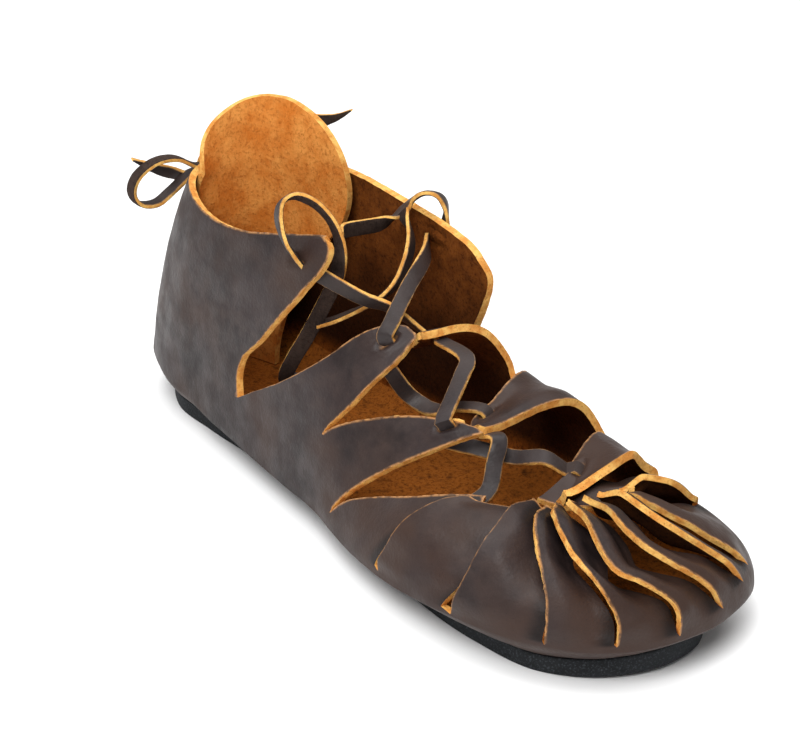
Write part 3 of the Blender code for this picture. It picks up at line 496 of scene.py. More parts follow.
def last_point(rib, height):
    """Point of the leather's outside. Height is -1 at the sole's edge, 0 at the wall's foot, 1 at the top."""
    rib, height = np.asarray(rib, float), np.asarray(height, float)
    t = girth_at(rib)
    row = rib_curve(t)
    foot, reach = row[:, FOOT], row[:, TOP] - row[:, FOOT]
    square = np.maximum(row[:, SQUARE:SQUARE + 1], 1.0)
    angle = np.linspace(0.0, math.pi / 2, RIB_SAMPLES)[None, :]
    level = 1.0 - np.cos(angle) ** (2.0 / square)
    level[:, -1] = 1.0
    rise = np.sin(angle) ** (2.0 / square)
    flat = np.linalg.norm(reach[:, 0:2], axis=1)[:, None]
    length = np.hypot(np.diff(level, axis=1) * flat, np.diff(rise, axis=1) * reach[:, 2:3])
    length = np.concatenate([np.zeros((len(rib), 1)), np.cumsum(length, axis=1)], axis=1)
    each = np.arange(len(rib))
    whole = length[:, -1]
    want = np.clip(height, 0.0, 1.0) * whole
    k = np.clip((length < want[:, None]).sum(axis=1), 1, RIB_SAMPLES - 1)
    u = (want - length[each, k - 1]) / (length[each, k] - length[each, k - 1])
    part_level = level[each, k - 1] + u * (level[each, k] - level[each, k - 1])
    part_rise = rise[each, k - 1] + u * (rise[each, k] - rise[each, k - 1])
    out = foot + reach * np.stack([part_level, part_level, part_rise], axis=1)
    end_level = level[:, -1] - level[:, -RIB_END_SAMPLES]
    end_rise = rise[:, -1] - rise[:, -RIB_END_SAMPLES]
    end = unit(reach * np.stack([end_level, end_level, end_rise], axis=1))
    out += end * (np.maximum(height - 1.0, 0.0) * whole)[:, None]
    under = height < 0.0
    if under.any():
        turn = (1.0 + height[under]) * math.pi / 2
        inset = row[under, OVERHANG] * (1.0 - np.sin(turn) ** UNDER_POWER)
        flat_place = foot[under, 0:2] - foot_outward(t[under]) * inset[:, None]
        floor = footbed_height(flat_place[:, 0])
        low = floor + (foot[under, 2] - floor) * (1.0 - np.maximum(np.cos(turn), 0.0) ** UNDER_POWER)
        out[under] = np.column_stack([flat_place, low])
    return out


def last_outward(rib, height):
    """Unit normal of the leather's outside."""
    across = last_point(rib + RIB_NEAR, height) - last_point(rib - RIB_NEAR, height)
    up = last_point(rib, height + HEIGHT_NEAR) - last_point(rib, height - HEIGHT_NEAR)
    return unit(np.cross(up, across) * TURN)


def curve_points(points, share):
    """Places on a smooth curve through the points, at shares from 0 at its start to 1 at its end."""
    points = np.asarray(points, float)
    share = np.atleast_1d(np.asarray(share, float))
    count = len(points) - 1
    padded = np.vstack([2 * points[0] - points[1], points, 2 * points[count] - points[count - 1]])
    place = np.clip(share * count, 0.0, count - 1e-9)
    i = place.astype(int)
    u = (place - i)[:, None]
    before, a, b, after = padded[i], padded[i + 1], padded[i + 2], padded[i + 3]
    return 0.5 * (
        2 * a
        + (b - before) * u
        + (2 * before - 5 * a + 4 * b - after) * u**2
        + (3 * a - before - 3 * b + after) * u**3
    )


TAB_LIST = [dict(zip(TAB_COLUMNS, row)) for row in TABS]
TAB_ORDER = [tab["name"] for tab in TAB_LIST]


def lift_share(share):
    """Share of its lift that a strip's edge has: one thickness soon after the cut, the rest over the bend."""
    low = LOW_LIFT_SHARE * ease(share, 0.0, LOW_LIFT_FULL)
    return low + (1.0 - LOW_LIFT_SHARE) * ease(share, *HIGH_LIFT)


def tab_edges(tab, following, share):
    """Both edges of a tab at shares of its length, drawn together at a rounded tip."""
    first = curve_points(EDGES[tab["first_edge"]], share)
    if tab["second_edge"]:
        second = curve_points(EDGES[tab["second_edge"]], share)
    else:
        second = curve_points(EDGES[following["first_edge"]], share)
        tucked = ease(share, *TUCKED)
        gap = SLIT_GAP + ROOT_GAPS.get(tab["name"], 0.0) * (1.0 - ease(share, 0.0, ROOT_GAP_END))
        second[:, 0] += np.where(share > 0.0, TUCK * tucked - gap * (1.0 - tucked), 0.0)
    if tab["rounded_tip"]:
        turn = np.clip((share - TIP_START) / (1.0 - TIP_START), 0.0, 1.0)
        keep = (TIP_WIDTH + (1.0 - TIP_WIDTH) * np.sqrt(1.0 - turn**2))[:, None]
        middle = (first + second) / 2
        first = middle + (first - middle) * keep
        second = middle + (second - middle) * keep
    return first, second


def tab_points(name, across, up):
    """Points of a tab's outside at shares across it and up it."""
    k = TAB_ORDER.index(name)
    tab, following = TAB_LIST[k], TAB_LIST[(k + 1) % len(TAB_LIST)]
    across, up = np.asarray(across, float), np.asarray(up, float)
    first, second = tab_edges(tab, following, up)
    place = first * (1.0 - across[:, None]) + second * across[:, None]
    dip = tab["sink"] * ease(across, *DIP_ACROSS) * (1.0 - (1.0 - DIP_LEFT) * ease(up, DIP_END, 1.0))
    raised = lift_share(up) * (tab["lift"] * (1.0 - across) - dip)
    hang = tab["droop"] * ease(up, DROOP_START, 1.0) + tab["curl"] * ease(up, CURL_START, 1.0)
    return last_point(*place.T) + last_outward(*place.T) * (raised - hang)[:, None]


def tab_spot(name, across, up):
    """Point and outward normal of a tab's outside at one spot."""
    spots = np.array([(0, 0), (-SHARE_NEAR, 0), (SHARE_NEAR, 0), (0, -SHARE_NEAR), (0, SHARE_NEAR)])
    spots = spots + (across, min(up, 1.0 - SHARE_NEAR))
    points = tab_points(name, *spots.T)
    normal = unit(np.cross(points[4] - points[3], points[2] - points[1]) * TURN)
    return points[0], normal


def put_in_scene(name, data):
    """A scene object for a mesh, lamp or camera."""
    item = bpy.data.objects.new(name, data)
    bpy.context.scene.collection.objects.link(item)
    return item


def fill_mesh(mesh, shape):
    """Puts a bmesh in metres into a mesh, shaded smooth with sharp cut edges."""
    shape.to_mesh(mesh)
    shape.free()
    mesh.shade_smooth()
    mesh.set_sharp_from_angle(angle=math.radians(SHARP_ANGLE))


def add_object(name, shape, materials):
    """A scene object from a bmesh and its list of materials."""
    mesh = bpy.data.meshes.new(name)
    for material in materials:
        mesh.materials.append(material)
    fill_mesh(mesh, shape)
    return put_in_scene(name, mesh)


def ring_faces(shape, lower, upper):
    """Faces between two closed rings of vertices."""
    return [shape.faces.new((lower[i - 1], lower[i], upper[i], upper[i - 1])) for i in range(len(lower))]


def dress(item, slot, *nodes):
    """Puts a piece on the body in place of its nodes; the kind of material that it is given is not used."""
    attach(item, BODY)
    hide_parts(*nodes)


class Look:
    """A procedural material in the making, with patterns in millimetres of the object."""

    def __init__(self, name, specular):
        self.material = bpy.data.materials.new(name)
        self.material.use_nodes = True
        self.tree = self.material.node_tree
        self.shader = self.tree.nodes["Principled BSDF"]
        self.shader.inputs["Specular IOR Level"].default_value = specular
        self.place = self.node("ShaderNodeTexCoord").outputs["Object"]

    def node(self, kind, **inputs):
        """A node with its inputs set to values or linked to other nodes."""
        made = self.tree.nodes.new(kind)
        for key, value in inputs.items():
            self.feed(made.inputs[key.replace("_", " ")], value)
        return made

    def feed(self, socket, value):
        """Sets a socket to a value, or links it."""
        if isinstance(value, bpy.types.NodeSocket):
            self.tree.links.new(value, socket)
        else:
            socket.default_value = value

    def noise(self, size, detail=3.0, rough=0.55, place=None):
        """Soft random values from 0 to 1 with lumps of about a size."""
        made = self.node(
            "ShaderNodeTexNoise",
            Vector=place or self.place, Scale=1.0 / (size * MM), Detail=detail, Roughness=rough,
        )
        return made.outputs["Fac"]

    def cells(self, size):
        """Distance from the middle of random cells of about a size."""
        made = self.node("ShaderNodeTexVoronoi", Vector=self.place, Scale=1.0 / (size * MM))
        return made.outputs["Distance"]

    def stretched(self, scale):
        """The place scaled along each axis, for streaks."""
        made = self.node("ShaderNodeMapping", Vector=self.place, Scale=scale)
        return made.outputs["Vector"]

    def axis(self, name):
        """Metres along one axis of the frame."""
        return self.node("ShaderNodeSeparateXYZ", Vector=self.place).outputs[name]

    def attribute(self, name):
        """A value kept on the mesh."""
        made = self.node("ShaderNodeAttribute")
        made.attribute_name = name
        return made.outputs["Fac"]

    def ramp(self, value, low, high, start=0.0, end=1.0):
        """The value eased from start to end between low and high."""
        made = self.node(
            "ShaderNodeMapRange", Value=value, From_Min=low, From_Max=high, To_Min=start, To_Max=end,
        )
        made.interpolation_type = "SMOOTHSTEP"
        return made.outputs["Result"]

    def math(self, kind, a, b):
        """Two values put together."""
        made = self.tree.nodes.new("ShaderNodeMath")
        made.operation = kind
        self.feed(made.inputs[0], a)
        self.feed(made.inputs[1], b)
        return made.outputs["Value"]

    def mix(self, share, a, b):
        """Colour a going over to colour b."""
        made = self.tree.nodes.new("ShaderNodeMix")
        made.data_type = "RGBA"
        self.feed(made.inputs["Factor"], share)
        for key, colour in (("A", a), ("B", b)):
            socket = next(s for s in made.inputs if s.name == key and s.type == "RGBA")
            self.feed(socket, colour if isinstance(colour, bpy.types.NodeSocket) else (*colour, 1.0))
        return next(s for s in made.outputs if s.type == "RGBA")

    def bumps(self, *layers):
        """Relief from layers of (height, depth in millimetres)."""
        normal = None
        for height, depth in layers:
            made = self.node("ShaderNodeBump", Height=height, Distance=depth * MM)
            if normal:
                self.feed(made.inputs["Normal"], normal)
            normal = made.outputs["Normal"]
        self.feed(self.shader.inputs["Normal"], normal)

    def finish(self, colour, roughness):
        """Joins colour and roughness to the shader."""
        self.feed(self.shader.inputs["Base Color"], colour)
        self.feed(self.shader.inputs["Roughness"], roughness)
        return self.material


def grain_look(name, dark, middle, light, warm, worn, rub):
    """Oiled leather's grain: cloudy where bent, pale within rub mm of a cut, painted highlight on folded
    crests and painted shade under overlaps.
    """
    look = Look(name, 0.24)
    cloud = look.noise(26.0, 4.0, 0.6)
    mottle = look.noise(6.5, 5.0, 0.62)
    fleck = look.noise(0.8, 2.0)
    pull_and_painted_light = look.attribute("pull_and_painted_light")
    colour = look.mix(look.ramp(cloud, 0.30, 0.62), dark, middle)
    # Paler mottle where the leather was bent, with the painted highlight on folded crests
    pale_and_highlight = look.math("MULTIPLY", look.ramp(mottle, 0.32, 0.90), look.ramp(pull_and_painted_light, 0.0, 1.0, 0.25, 0.65))
    colour = look.mix(pale_and_highlight, colour, light)
    inner = look.ramp(look.axis("Y"), INNER_FROM * MM, INNER_TO * MM, 0.0, 0.25)
    browner = look.ramp(look.math("ADD", look.noise(42.0), inner), 0.44, 0.68, 0.0, 0.85)
    colour = look.mix(browner, colour, warm)
    colour = look.mix(look.ramp(fleck, 0.60, 0.78, 0.0, 0.35), colour, dark)
    # Painted shade where another strip lies over this one, from negative pull
    colour = look.mix(look.ramp(pull_and_painted_light, -1.0, 0.0, 0.85, 0.0), colour, tuple(PAINTED_SHADE_SHARE * c for c in dark))
    near_edge = look.ramp(look.attribute("edge_mm"), 0.1 * rub, rub, 1.0, 0.0)
    rubbed = look.math("MULTIPLY", near_edge, look.ramp(look.noise(2.2, 4.0), 0.36, 0.60, 0.25, 1.0))
    colour = look.mix(rubbed, colour, worn)
    roughness = look.ramp(look.noise(9.0, 4.0), 0.3, 0.7, 0.40, 0.58)
    look.bumps((look.noise(14.0, 3.0), 0.5), (look.cells(1.1), 0.05), (look.noise(0.45, 3.0), 0.05))
    return look.finish(colour, roughness)


def suede_look(name, dark, middle, light, bed=None):
    """The flesh side: short fibres in streaks and specks; with a bed colour, also painted shade low on the
    walls and the bed colour low down.
    """
    look = Look(name, 0.08)
    cloud = look.noise(13.0, 4.0, 0.6)
    blotch = look.noise(4.0, 5.0, 0.68)
    speck = look.noise(1.3, 4.0, 0.72)
    streak = look.noise(0.7, 3.0, 0.6, look.stretched((1.0, 1.0, 0.32)))
    colour = look.mix(look.ramp(cloud, 0.34, 0.66), middle, light)
    colour = look.mix(look.ramp(streak, 0.52, 0.76, 0.0, 0.50), colour, light)
    if bed:
        # Painted shade: the inside walls darker towards the bottom, fading out with height
        colour = look.mix(look.ramp(look.axis("Z"), WALL_SHADE_LOW * MM, WALL_SHADE_HIGH * MM, 0.85, 0.0), colour, dark)
        low = look.ramp(look.axis("Z"), BED_LOW * MM, BED_HIGH * MM, 0.9, 0.0)
        colour = look.mix(look.math("MULTIPLY", low, look.ramp(blotch, 0.28, 0.56, 0.35, 1.0)), colour, bed)
    colour = look.mix(look.ramp(blotch, 0.50, 0.74, 0.0, 0.50), colour, dark)
    colour = look.mix(look.ramp(speck, 0.46, 0.72, 0.0, 0.70), colour, dark)
    roughness = look.ramp(speck, 0.3, 0.7, 0.82, 0.97)
    look.bumps((cloud, 0.35), (speck, 0.30), (streak, 0.22))
    return look.finish(colour, roughness)


def cut_look(name, dark, middle, light):
    """The cut edge: pale fibres with darker ends."""
    look = Look(name, 0.15)
    fibre = look.noise(0.9, 4.0, 0.7)
    tuft = look.noise(4.5, 3.0)
    colour = look.mix(look.ramp(tuft, 0.35, 0.65), middle, light)
    colour = look.mix(look.ramp(fibre, 0.52, 0.74, 0.0, 0.85), colour, dark)
    roughness = look.ramp(fibre, 0.3, 0.7, 0.75, 0.95)
    look.bumps((fibre, 0.30), (look.noise(0.4, 3.0), 0.16))
    return look.finish(colour, roughness)


def rubber_look(name, dark, light):
    """Fine black foam rubber with pale specks."""
    look = Look(name, 0.25)
    pore = look.noise(0.7, 3.0, 0.65)
    cloud = look.noise(16.0, 3.0)
    colour = look.mix(look.ramp(cloud, 0.3, 0.7, 0.0, 0.2), dark, light)
    colour = look.mix(look.ramp(pore, 0.48, 0.70, 0.0, 0.9), colour, light)
    roughness = look.ramp(pore, 0.3, 0.7, 0.72, 0.92)
    look.bumps((pore, 0.18), (look.cells(1.6), 0.10))
    return look.finish(colour, roughness)


GRAIN = grain_look(
    "leather grain",
    dark=(0.0140, 0.0090, 0.0090), middle=(0.0285, 0.0185, 0.0178), light=(0.056, 0.036, 0.030),
    warm=(0.044, 0.023, 0.016), worn=(0.42, 0.20, 0.07), rub=1.0,
)
# Painted shade: the face of a turned-under edge in near-black leather colours, as a dark line along the fold
FOLD_FACE_SHADE = grain_look(
    "turned edge painted shade",
    dark=(0.003, 0.002, 0.002), middle=(0.006, 0.004, 0.004), light=(0.010, 0.006, 0.005),
    warm=(0.009, 0.005, 0.003), worn=(0.05, 0.03, 0.02), rub=0.1,
)
SUEDE_TAB = suede_look("heel tab suede", (0.35, 0.085, 0.011), (0.63, 0.187, 0.027), (0.81, 0.335, 0.075))
SUEDE_INSIDE = suede_look(
    "inside suede",
    dark=(0.012, 0.004, 0.002), middle=(0.125, 0.034, 0.005), light=(0.225, 0.066, 0.011),
    bed=(0.42, 0.125, 0.017),
)
CUT = cut_look("cut edge", (0.32, 0.090, 0.014), (0.66, 0.27, 0.055), (0.88, 0.51, 0.14))
LACE_GRAIN = grain_look(
    "lace grain",
    dark=(0.016, 0.012, 0.012), middle=(0.034, 0.026, 0.026), light=(0.060, 0.045, 0.042),
    warm=(0.042, 0.028, 0.024), worn=(0.42, 0.22, 0.08), rub=0.4,
)
# Painted shade: the lace's flesh side in dark browns, standing in for the shade on its underside
LACE_BACK_SHADED = suede_look("lace back painted shade", (0.018, 0.012, 0.010), (0.036, 0.024, 0.020), (0.060, 0.040, 0.032))
LACE_CUT = cut_look("lace edge", (0.34, 0.11, 0.02), (0.62, 0.27, 0.055), (0.82, 0.48, 0.13))
LACE_MATERIALS = (LACE_GRAIN, LACE_BACK_SHADED, LACE_CUT)
RUBBER = rubber_look("foam rubber", (0.006, 0.007, 0.008), (0.050, 0.055, 0.062))


class Sheet:
    """A leather surface in the making: points with their distance from a cut edge and their pull-up, painted
    highlight and painted shade.
    """

    def __init__(self):
        self.shape = bmesh.new()
        self.edge_layer = self.shape.verts.layers.float.new("edge_mm")
        self.pull_and_painted_light_layer = self.shape.verts.layers.float.new("pull_and_painted_light")
        self.full_layer = self.shape.verts.layers.float.new("full")
        self.fold_layer = self.shape.verts.layers.float.new("fold")

    def add(self, points, edge, pull_and_painted_light, thin=False):
        """New vertices at points in millimetres, thinner towards the edge if asked."""
        made = []
        full = EDGE_SHARE + (1.0 - EDGE_SHARE) * ease(edge, 0.0, EDGE_REACH) if thin else np.ones(len(edge))
        for point, edge_mm, shade, share in zip(metres(points), edge, pull_and_painted_light, full):
            vert = self.shape.verts.new(point)
            vert[self.edge_layer] = edge_mm
            vert[self.pull_and_painted_light_layer] = shade
            vert[self.full_layer] = share
            made.append(vert)
        return made

    def ring(self, upper, points):
        """A closed ring of faces below another one, ending at the points."""
        far = np.full(len(points), FAR)
        lower = self.add(points, far, far * 0.0)
        ring_faces(self.shape, lower, upper)
        return lower


def run_lengths(points, axis):
    """Millimetres along the rows or columns of a grid of points, from its first one."""
    step = np.linalg.norm(np.diff(points, axis=axis), axis=2)
    start = np.zeros((points.shape[0], 1)) if axis == 1 else np.zeros((1, points.shape[1]))
    return np.concatenate([start, np.cumsum(step, axis=axis)], axis=axis)


def tab_grid(tab):
    """Grid of points of one tab, with their distance from its cut edges."""
    rows, columns = tab["up"] * FINE + 1, tab["across"] * FINE + 1
    up = np.repeat(np.linspace(0.0, 1.0, rows), columns)
    across = np.tile(np.linspace(0.0, 1.0, columns), rows)
    points = tab_points(tab["name"], across, up).reshape(rows, columns, 3)
    from_first = run_lengths(points, 1)
    from_root = run_lengths(points, 0)
    rub_from = FOLD_RUB if tab["name"] in FOLDED_TABS else 0.0
    edge = np.minimum(from_first + rub_from, from_root[-1:] - from_root)
    if tab["second_edge"]:
        edge = np.minimum(edge, from_first[:, -1:] - from_first)
    pull_and_painted_light = ease(from_root, *PULL_COMES) * (1.0 - ease(from_root, *PULL_GOES))
    # Pull-up with a painted highlight: a pale band along the crest of a folded edge
    if tab["name"] in FOLDED_TABS:
        pull_and_painted_light = np.maximum(pull_and_painted_light, 1.0 - ease(from_first, 0.0, FOLD_CREST))
    # Painted shade: near the first edge of the strip that lies over this one the leather darkens, kept as
    # negative pull
    if not tab["second_edge"]:
        over = TAB_LIST[TAB_ORDER.index(tab["name"]) + 1]["name"]
        line = tab_points(over, np.zeros(rows), np.linspace(0.0, 1.0, rows))
        away = np.linalg.norm(points[:, :, None] - line, axis=3).min(axis=2)
        painted_shade = 1.0 - ease(away, *PAINTED_SHADE_REACH)
        pull_and_painted_light = pull_and_painted_light * (1.0 - painted_shade) - painted_shade
    return points, edge, pull_and_painted_light


def upper_sheet():
    """The leather's outside as one open sheet: foot bed, turned-up wall, tabs and toe strips."""
    sheet = Sheet()
    rim, rim_places, grids = [], [], []
    for k, tab in enumerate(TAB_LIST):
        following = TAB_LIST[(k + 1) % len(TAB_LIST)]
        grids.append(tab_grid(tab))
        first, second = tab_edges(tab, following, np.array([0.0]))
        share = np.linspace(0.0, 1.0, tab["across"] * FINE + 1)[:-1, None]
        places = first * (1.0 - share) + second * share
        points = last_point(*places.T)
        rim += sheet.add(points, np.minimum(share[:, 0], 1.0 - share[:, 0]) * FAR, share[:, 0] * 0.0)
        rim_places.append(places)
    start = 0
    for tab, (points, edge, pull_and_painted_light) in zip(TAB_LIST, grids):
        columns = tab["across"] * FINE
        below = [rim[(start + j) % len(rim)] for j in range(columns + 1)]
        start += columns
        for row in range(1, len(points)):
            line = sheet.add(points[row], edge[row], pull_and_painted_light[row], tab["curl"] > 0.0)
            line[0][sheet.fold_layer] = float(tab["name"] in FOLDED_TABS)
            for j in range(columns):
                sheet.shape.faces.new((below[j], below[j + 1], line[j + 1], line[j]))
            below = line
    ribs, cuts = np.vstack(rim_places).T
    count = len(WALL_LEVELS)
    steps = np.linspace(0, count, count * FINE + 1)[1:]
    levels = np.interp(steps, np.arange(count + 1), (1.0, *WALL_LEVELS))
    ring = rim
    for level in levels:
        ring = sheet.ring(ring, last_point(ribs, cuts * level if level > 0 else np.full(len(ribs), level)))
    edge = last_point(ribs, np.full(len(ribs), -1.0))
    outward = foot_outward(girth_at(ribs))
    for share in np.linspace(0.0, 1.0, FINE + 1)[1:]:
        inner = edge.copy()
        inner[:, 0:2] -= outward * FOOTBED_INSET * share
        inner[:, 2] = footbed_height(inner[:, 0])
        ring = sheet.ring(ring, inner)
    loop = [sheet.shape.edges.get((ring[i - 1], ring[i])) for i in range(len(ring))]
    bmesh.ops.triangle_fill(sheet.shape, use_beauty=True, use_dissolve=False, edges=loop)
    bmesh.ops.recalc_face_normals(sheet.shape, faces=sheet.shape.faces)
    return sheet


def wave(place, size):
    """Soft random value from -1 to 1 at a place in metres."""
    return noise.noise(Vector(place) / (size * MM))


def roughen(sheet, wander):
    """Adds waves to a leather surface and makes its cut edges wander."""
    shape = sheet.shape
    shape.normal_update()
    moves = []
    for vert in shape.verts:
        place = vert.co.copy()
        rise = WAVE_DEPTH * wave(place, WAVE_SIZE) + RIPPLE_DEPTH * wave(place, RIPPLE_SIZE)
        move = vert.normal * (rise * MM)
        if vert[sheet.edge_layer] < WANDER_REACH:
            fade = 1.0 - vert[sheet.edge_layer] / WANDER_REACH
            aside = noise.noise_vector(place / (WANDER_SIZE * MM)) * (wander * fade * MM)
            move += aside - vert.normal * aside.dot(vert.normal)
        moves.append(move)
    for vert, move in zip(shape.verts, moves):
        if vert.co.z > STILL_BELOW * MM:
            vert.co += move


def thicken(name, sheet, materials):
    """A leather piece with its real thickness, and rough fibres on its cut edges."""
    item = add_object(name, sheet.shape, materials)
    group = item.vertex_groups.new(name="thickness")
    for index, share in enumerate(item.data.attributes["full"].data):
        group.add([index], share.value, "REPLACE")
    wall = item.modifiers.new("thickness", "SOLIDIFY")
    wall.thickness = LEATHER * MM
    wall.offset = -1.0
    wall.use_even_offset = False
    wall.vertex_group = group.name
    wall.material_offset = SUEDE_SIDE
    wall.material_offset_rim = CUT_SIDE
    thick = bpy.data.meshes.new_from_object(item.evaluated_get(bpy.context.evaluated_depsgraph_get()))
    item.modifiers.clear()
    shape = bmesh.new()
    shape.from_mesh(thick)
    bpy.data.meshes.remove(thick)
    fray_rim(shape)
    fill_mesh(item.data, shape)
    return item


def fray_rim(shape):
    """Cuts the rim's faces across the thickness and moves the new points in and out, except along a fold."""
    fold_layer = shape.verts.layers.float.get("fold")
    for face in shape.faces:
        # Rim faces along a fold get the near-black painted shade instead of the cut edge's colour
        if face.material_index == CUT_SIDE and all(vert[fold_layer] > 0.5 for vert in face.verts):
            face.material_index = FOLD_SHADE_SIDE
    rim = [face for face in shape.faces if face.material_index == CUT_SIDE]
    through = set()
    for face in rim:
        for edge in face.edges:
            if all(other.material_index == CUT_SIDE for other in edge.link_faces):
                through.add(edge)
    made = bmesh.ops.subdivide_edges(shape, edges=list(through), cuts=RIM_CUTS, use_grid_fill=True)
    shape.normal_update()
    for vert in {item for item in made["geom_inner"] if isinstance(item, bmesh.types.BMVert)}:
        lump = wave(vert.co, FRAY_SIZE) + FINE_FRAY_SHARE * wave(vert.co, FINE_FRAY_SIZE)
        vert.co += vert.normal * (FRAY * lump * MM)


def slit_lines():
    """Middle, width direction and outward direction of each slit, from the lace that goes through it."""
    lines = []
    for stops in BARS.values():
        for before, stop in list(zip(stops, stops[1:])) + list(zip(stops[1:], stops)):
            if isinstance(stop[0], str) and stop[3] == "slit" and isinstance(before[0], str):
                across, up = (np.array(before[1:3]) + np.array(stop[1:3])) / 2
                point, normal = tab_spot(stop[0], across, up)
                forward = tab_spot(*stop[0:3])[0] - tab_spot(*before[0:3])[0]
                lines.append((point, unit(np.cross(normal, forward)), normal))
    for start, side, outward in LOOP_SLITS:
        lines.append((np.array(start), unit(side), unit(outward)))
    return lines


def cut_slits(sheet):
    """Presses the leather in along each slit and raises its lips."""
    places = np.array([vert.co for vert in sheet.shape.verts]) / MM + (MIDDLE_X, MIDDLE_Y, 0.0)
    verts = list(sheet.shape.verts)
    for point, side, normal in slit_lines():
        away = places - point
        for i in np.flatnonzero(np.linalg.norm(away, axis=1) < SLIT_REACH):
            past = max(0.0, abs(float(away[i] @ side)) - LACE_WIDTH / 2)
            beside = away[i] - side * float(away[i] @ side)
            far = math.hypot(past, float(np.linalg.norm(beside)))
            dent = SLIT_DEPTH * math.exp(-(far / SLIT_WIDE) ** 2)
            lip = SLIT_LIP * math.exp(-((far - 2.0 * SLIT_WIDE) / SLIT_WIDE) ** 2)
            verts[i].co += Vector(normal * ((lip - dent) * MM))
            rub = SLIT_RUB + SLIT_RUB_GROWTH * far
            verts[i][sheet.edge_layer] = min(verts[i][sheet.edge_layer], rub)


def make_upper():
    """The wrapped leather."""
    sheet = upper_sheet()
    roughen(sheet, WANDER)
    cut_slits(sheet)
    item = thicken("upper_leather", sheet, (GRAIN, SUEDE_INSIDE, CUT, FOLD_FACE_SHADE))
    dress(item, "leather", "upper")


def heel_wall():
    """Points up the heel's wall, from the inner side round the back to the outer side, and outward."""
    ribs = np.linspace(*WALL_RIBS, WALL_COLUMNS)
    heights = np.linspace(0.0, 1.0, WALL_ROWS)
    spots = [np.repeat(ribs, WALL_ROWS), np.tile(heights, WALL_COLUMNS)]
    shape = (WALL_COLUMNS, WALL_ROWS, 3)
    return last_point(*spots).reshape(shape), last_outward(*spots).reshape(shape)


WALL_POINTS, WALL_OUTWARD = heel_wall()


def inside_wall(points):
    """Points moved in where they reach through the heel's wall."""
    z = points[0, 2]
    rows = [np.interp(z, column[:, 2], np.arange(WALL_ROWS)) for column in WALL_POINTS]
    rows = np.round(rows).astype(int)
    each = np.arange(WALL_COLUMNS)
    outward = unit(WALL_OUTWARD[each, rows, 0:2])
    wall = WALL_POINTS[each, rows, 0:2] - outward * TAB_INSIDE
    tops = WALL_POINTS[:, -1, 2]
    out = points.copy()
    for point in out:
        k = int(np.argmin(np.linalg.norm(wall - point[0:2], axis=1)))
        past = float((point[0:2] - wall[k]) @ outward[k])
        if past > -TAB_BEND:
            push = past if past > TAB_BEND else (past + TAB_BEND) ** 2 / (4.0 * TAB_BEND)
            point[0:2] -= outward[k] * push * (1.0 - float(ease(z, tops[k], tops[k] + TAB_CLEARS)))
    return out


def heel_tab_row(z, half_width):
    """Points of the tab's outside at one height, spread along its plan from the middle."""
    plan = curve_points(TAB_PLAN, np.linspace(0.0, 1.0, TAB_PLAN_SAMPLES))
    length = np.append(0.0, np.cumsum(np.linalg.norm(np.diff(plan, axis=0), axis=1)))
    share = np.linspace(-1.0, 1.0, TAB_ACROSS + 1)
    spread = length[-1] / 2 + TAB_SHIFT + half_width * share
    back = 1.0 - float(ease(z, TAB_NECK_LOW, TAB_SPRING_END))
    x = np.interp(spread, length, plan[:, 0]) - TAB_SPRING[0] * back
    y = np.interp(spread, length, plan[:, 1]) - TAB_SPRING[1] * back
    return inside_wall(np.column_stack([x, y, np.full(len(spread), z)]))


def make_heel_tab():
    """The round tab: neck rows, then rows across a circle."""
    neck_angle = -math.acos(TAB_NECK_HALF / TAB_HEAD_WIDE)
    neck_top = TAB_HEAD_Z + TAB_HEAD_TALL * math.sin(neck_angle)
    rows = [(z, TAB_NECK_HALF) for z in np.linspace(TAB_NECK_LOW, neck_top, TAB_NECK_ROWS)[:-1]]
    for angle in np.linspace(neck_angle, math.radians(TAB_HEAD_END), TAB_HEAD_ROWS):
        rows.append((TAB_HEAD_Z + TAB_HEAD_TALL * math.sin(angle), TAB_HEAD_WIDE * math.cos(angle)))
    points = np.array([heel_tab_row(z, half) for z, half in rows])
    from_side = run_lengths(points, 1)
    from_root = run_lengths(points, 0)
    edge = np.minimum(np.minimum(from_side, from_side[:, -1:] - from_side), from_root[-1:] - from_root)
    sheet = Sheet()
    below = None
    for row, row_edge in zip(points, edge):
        line = sheet.add(row, row_edge, row_edge * 0.0)
        if below:
            for j in range(TAB_ACROSS):
                sheet.shape.faces.new((below[j + 1], below[j], line[j], line[j + 1]))
        below = line
    roughen(sheet, TAB_WANDER)
    item = thicken("heel_tab_leather", sheet, (GRAIN, SUEDE_TAB, CUT))
    dress(item, "suede", "heel_tab")


def sole_stations():
    """Rows of (x, outer y, inner y) along the sole, closer together at its ends."""
    ribs = np.linspace(0.0, RIB_COUNT, SOLE_SAMPLES, endpoint=False)
    line = last_point(ribs, np.full(len(ribs), -1.0))
    line[:, 0:2] += foot_outward(girth_at(ribs)) * SOLE_MARGIN
    back, toe = int(np.argmin(line[:, 0])), int(np.argmax(line[:, 0]))
    line = np.roll(line, -back, axis=0)
    toe = (toe - back) % len(line)
    outer, inner = line[:toe + 1], np.vstack([line[toe:], line[:1]])[::-1]
    turn = np.linspace(0.0, math.pi, SOLE_STEPS + 1)
    x = line[0, 0] + (line[toe, 0] - line[0, 0]) * (1.0 - np.cos(turn)) / 2
    outer_y = np.interp(x, outer[:, 0], outer[:, 1])
    inner_y = np.interp(x, inner[:, 0], inner[:, 1])
    return np.stack([x, outer_y, inner_y], axis=1)


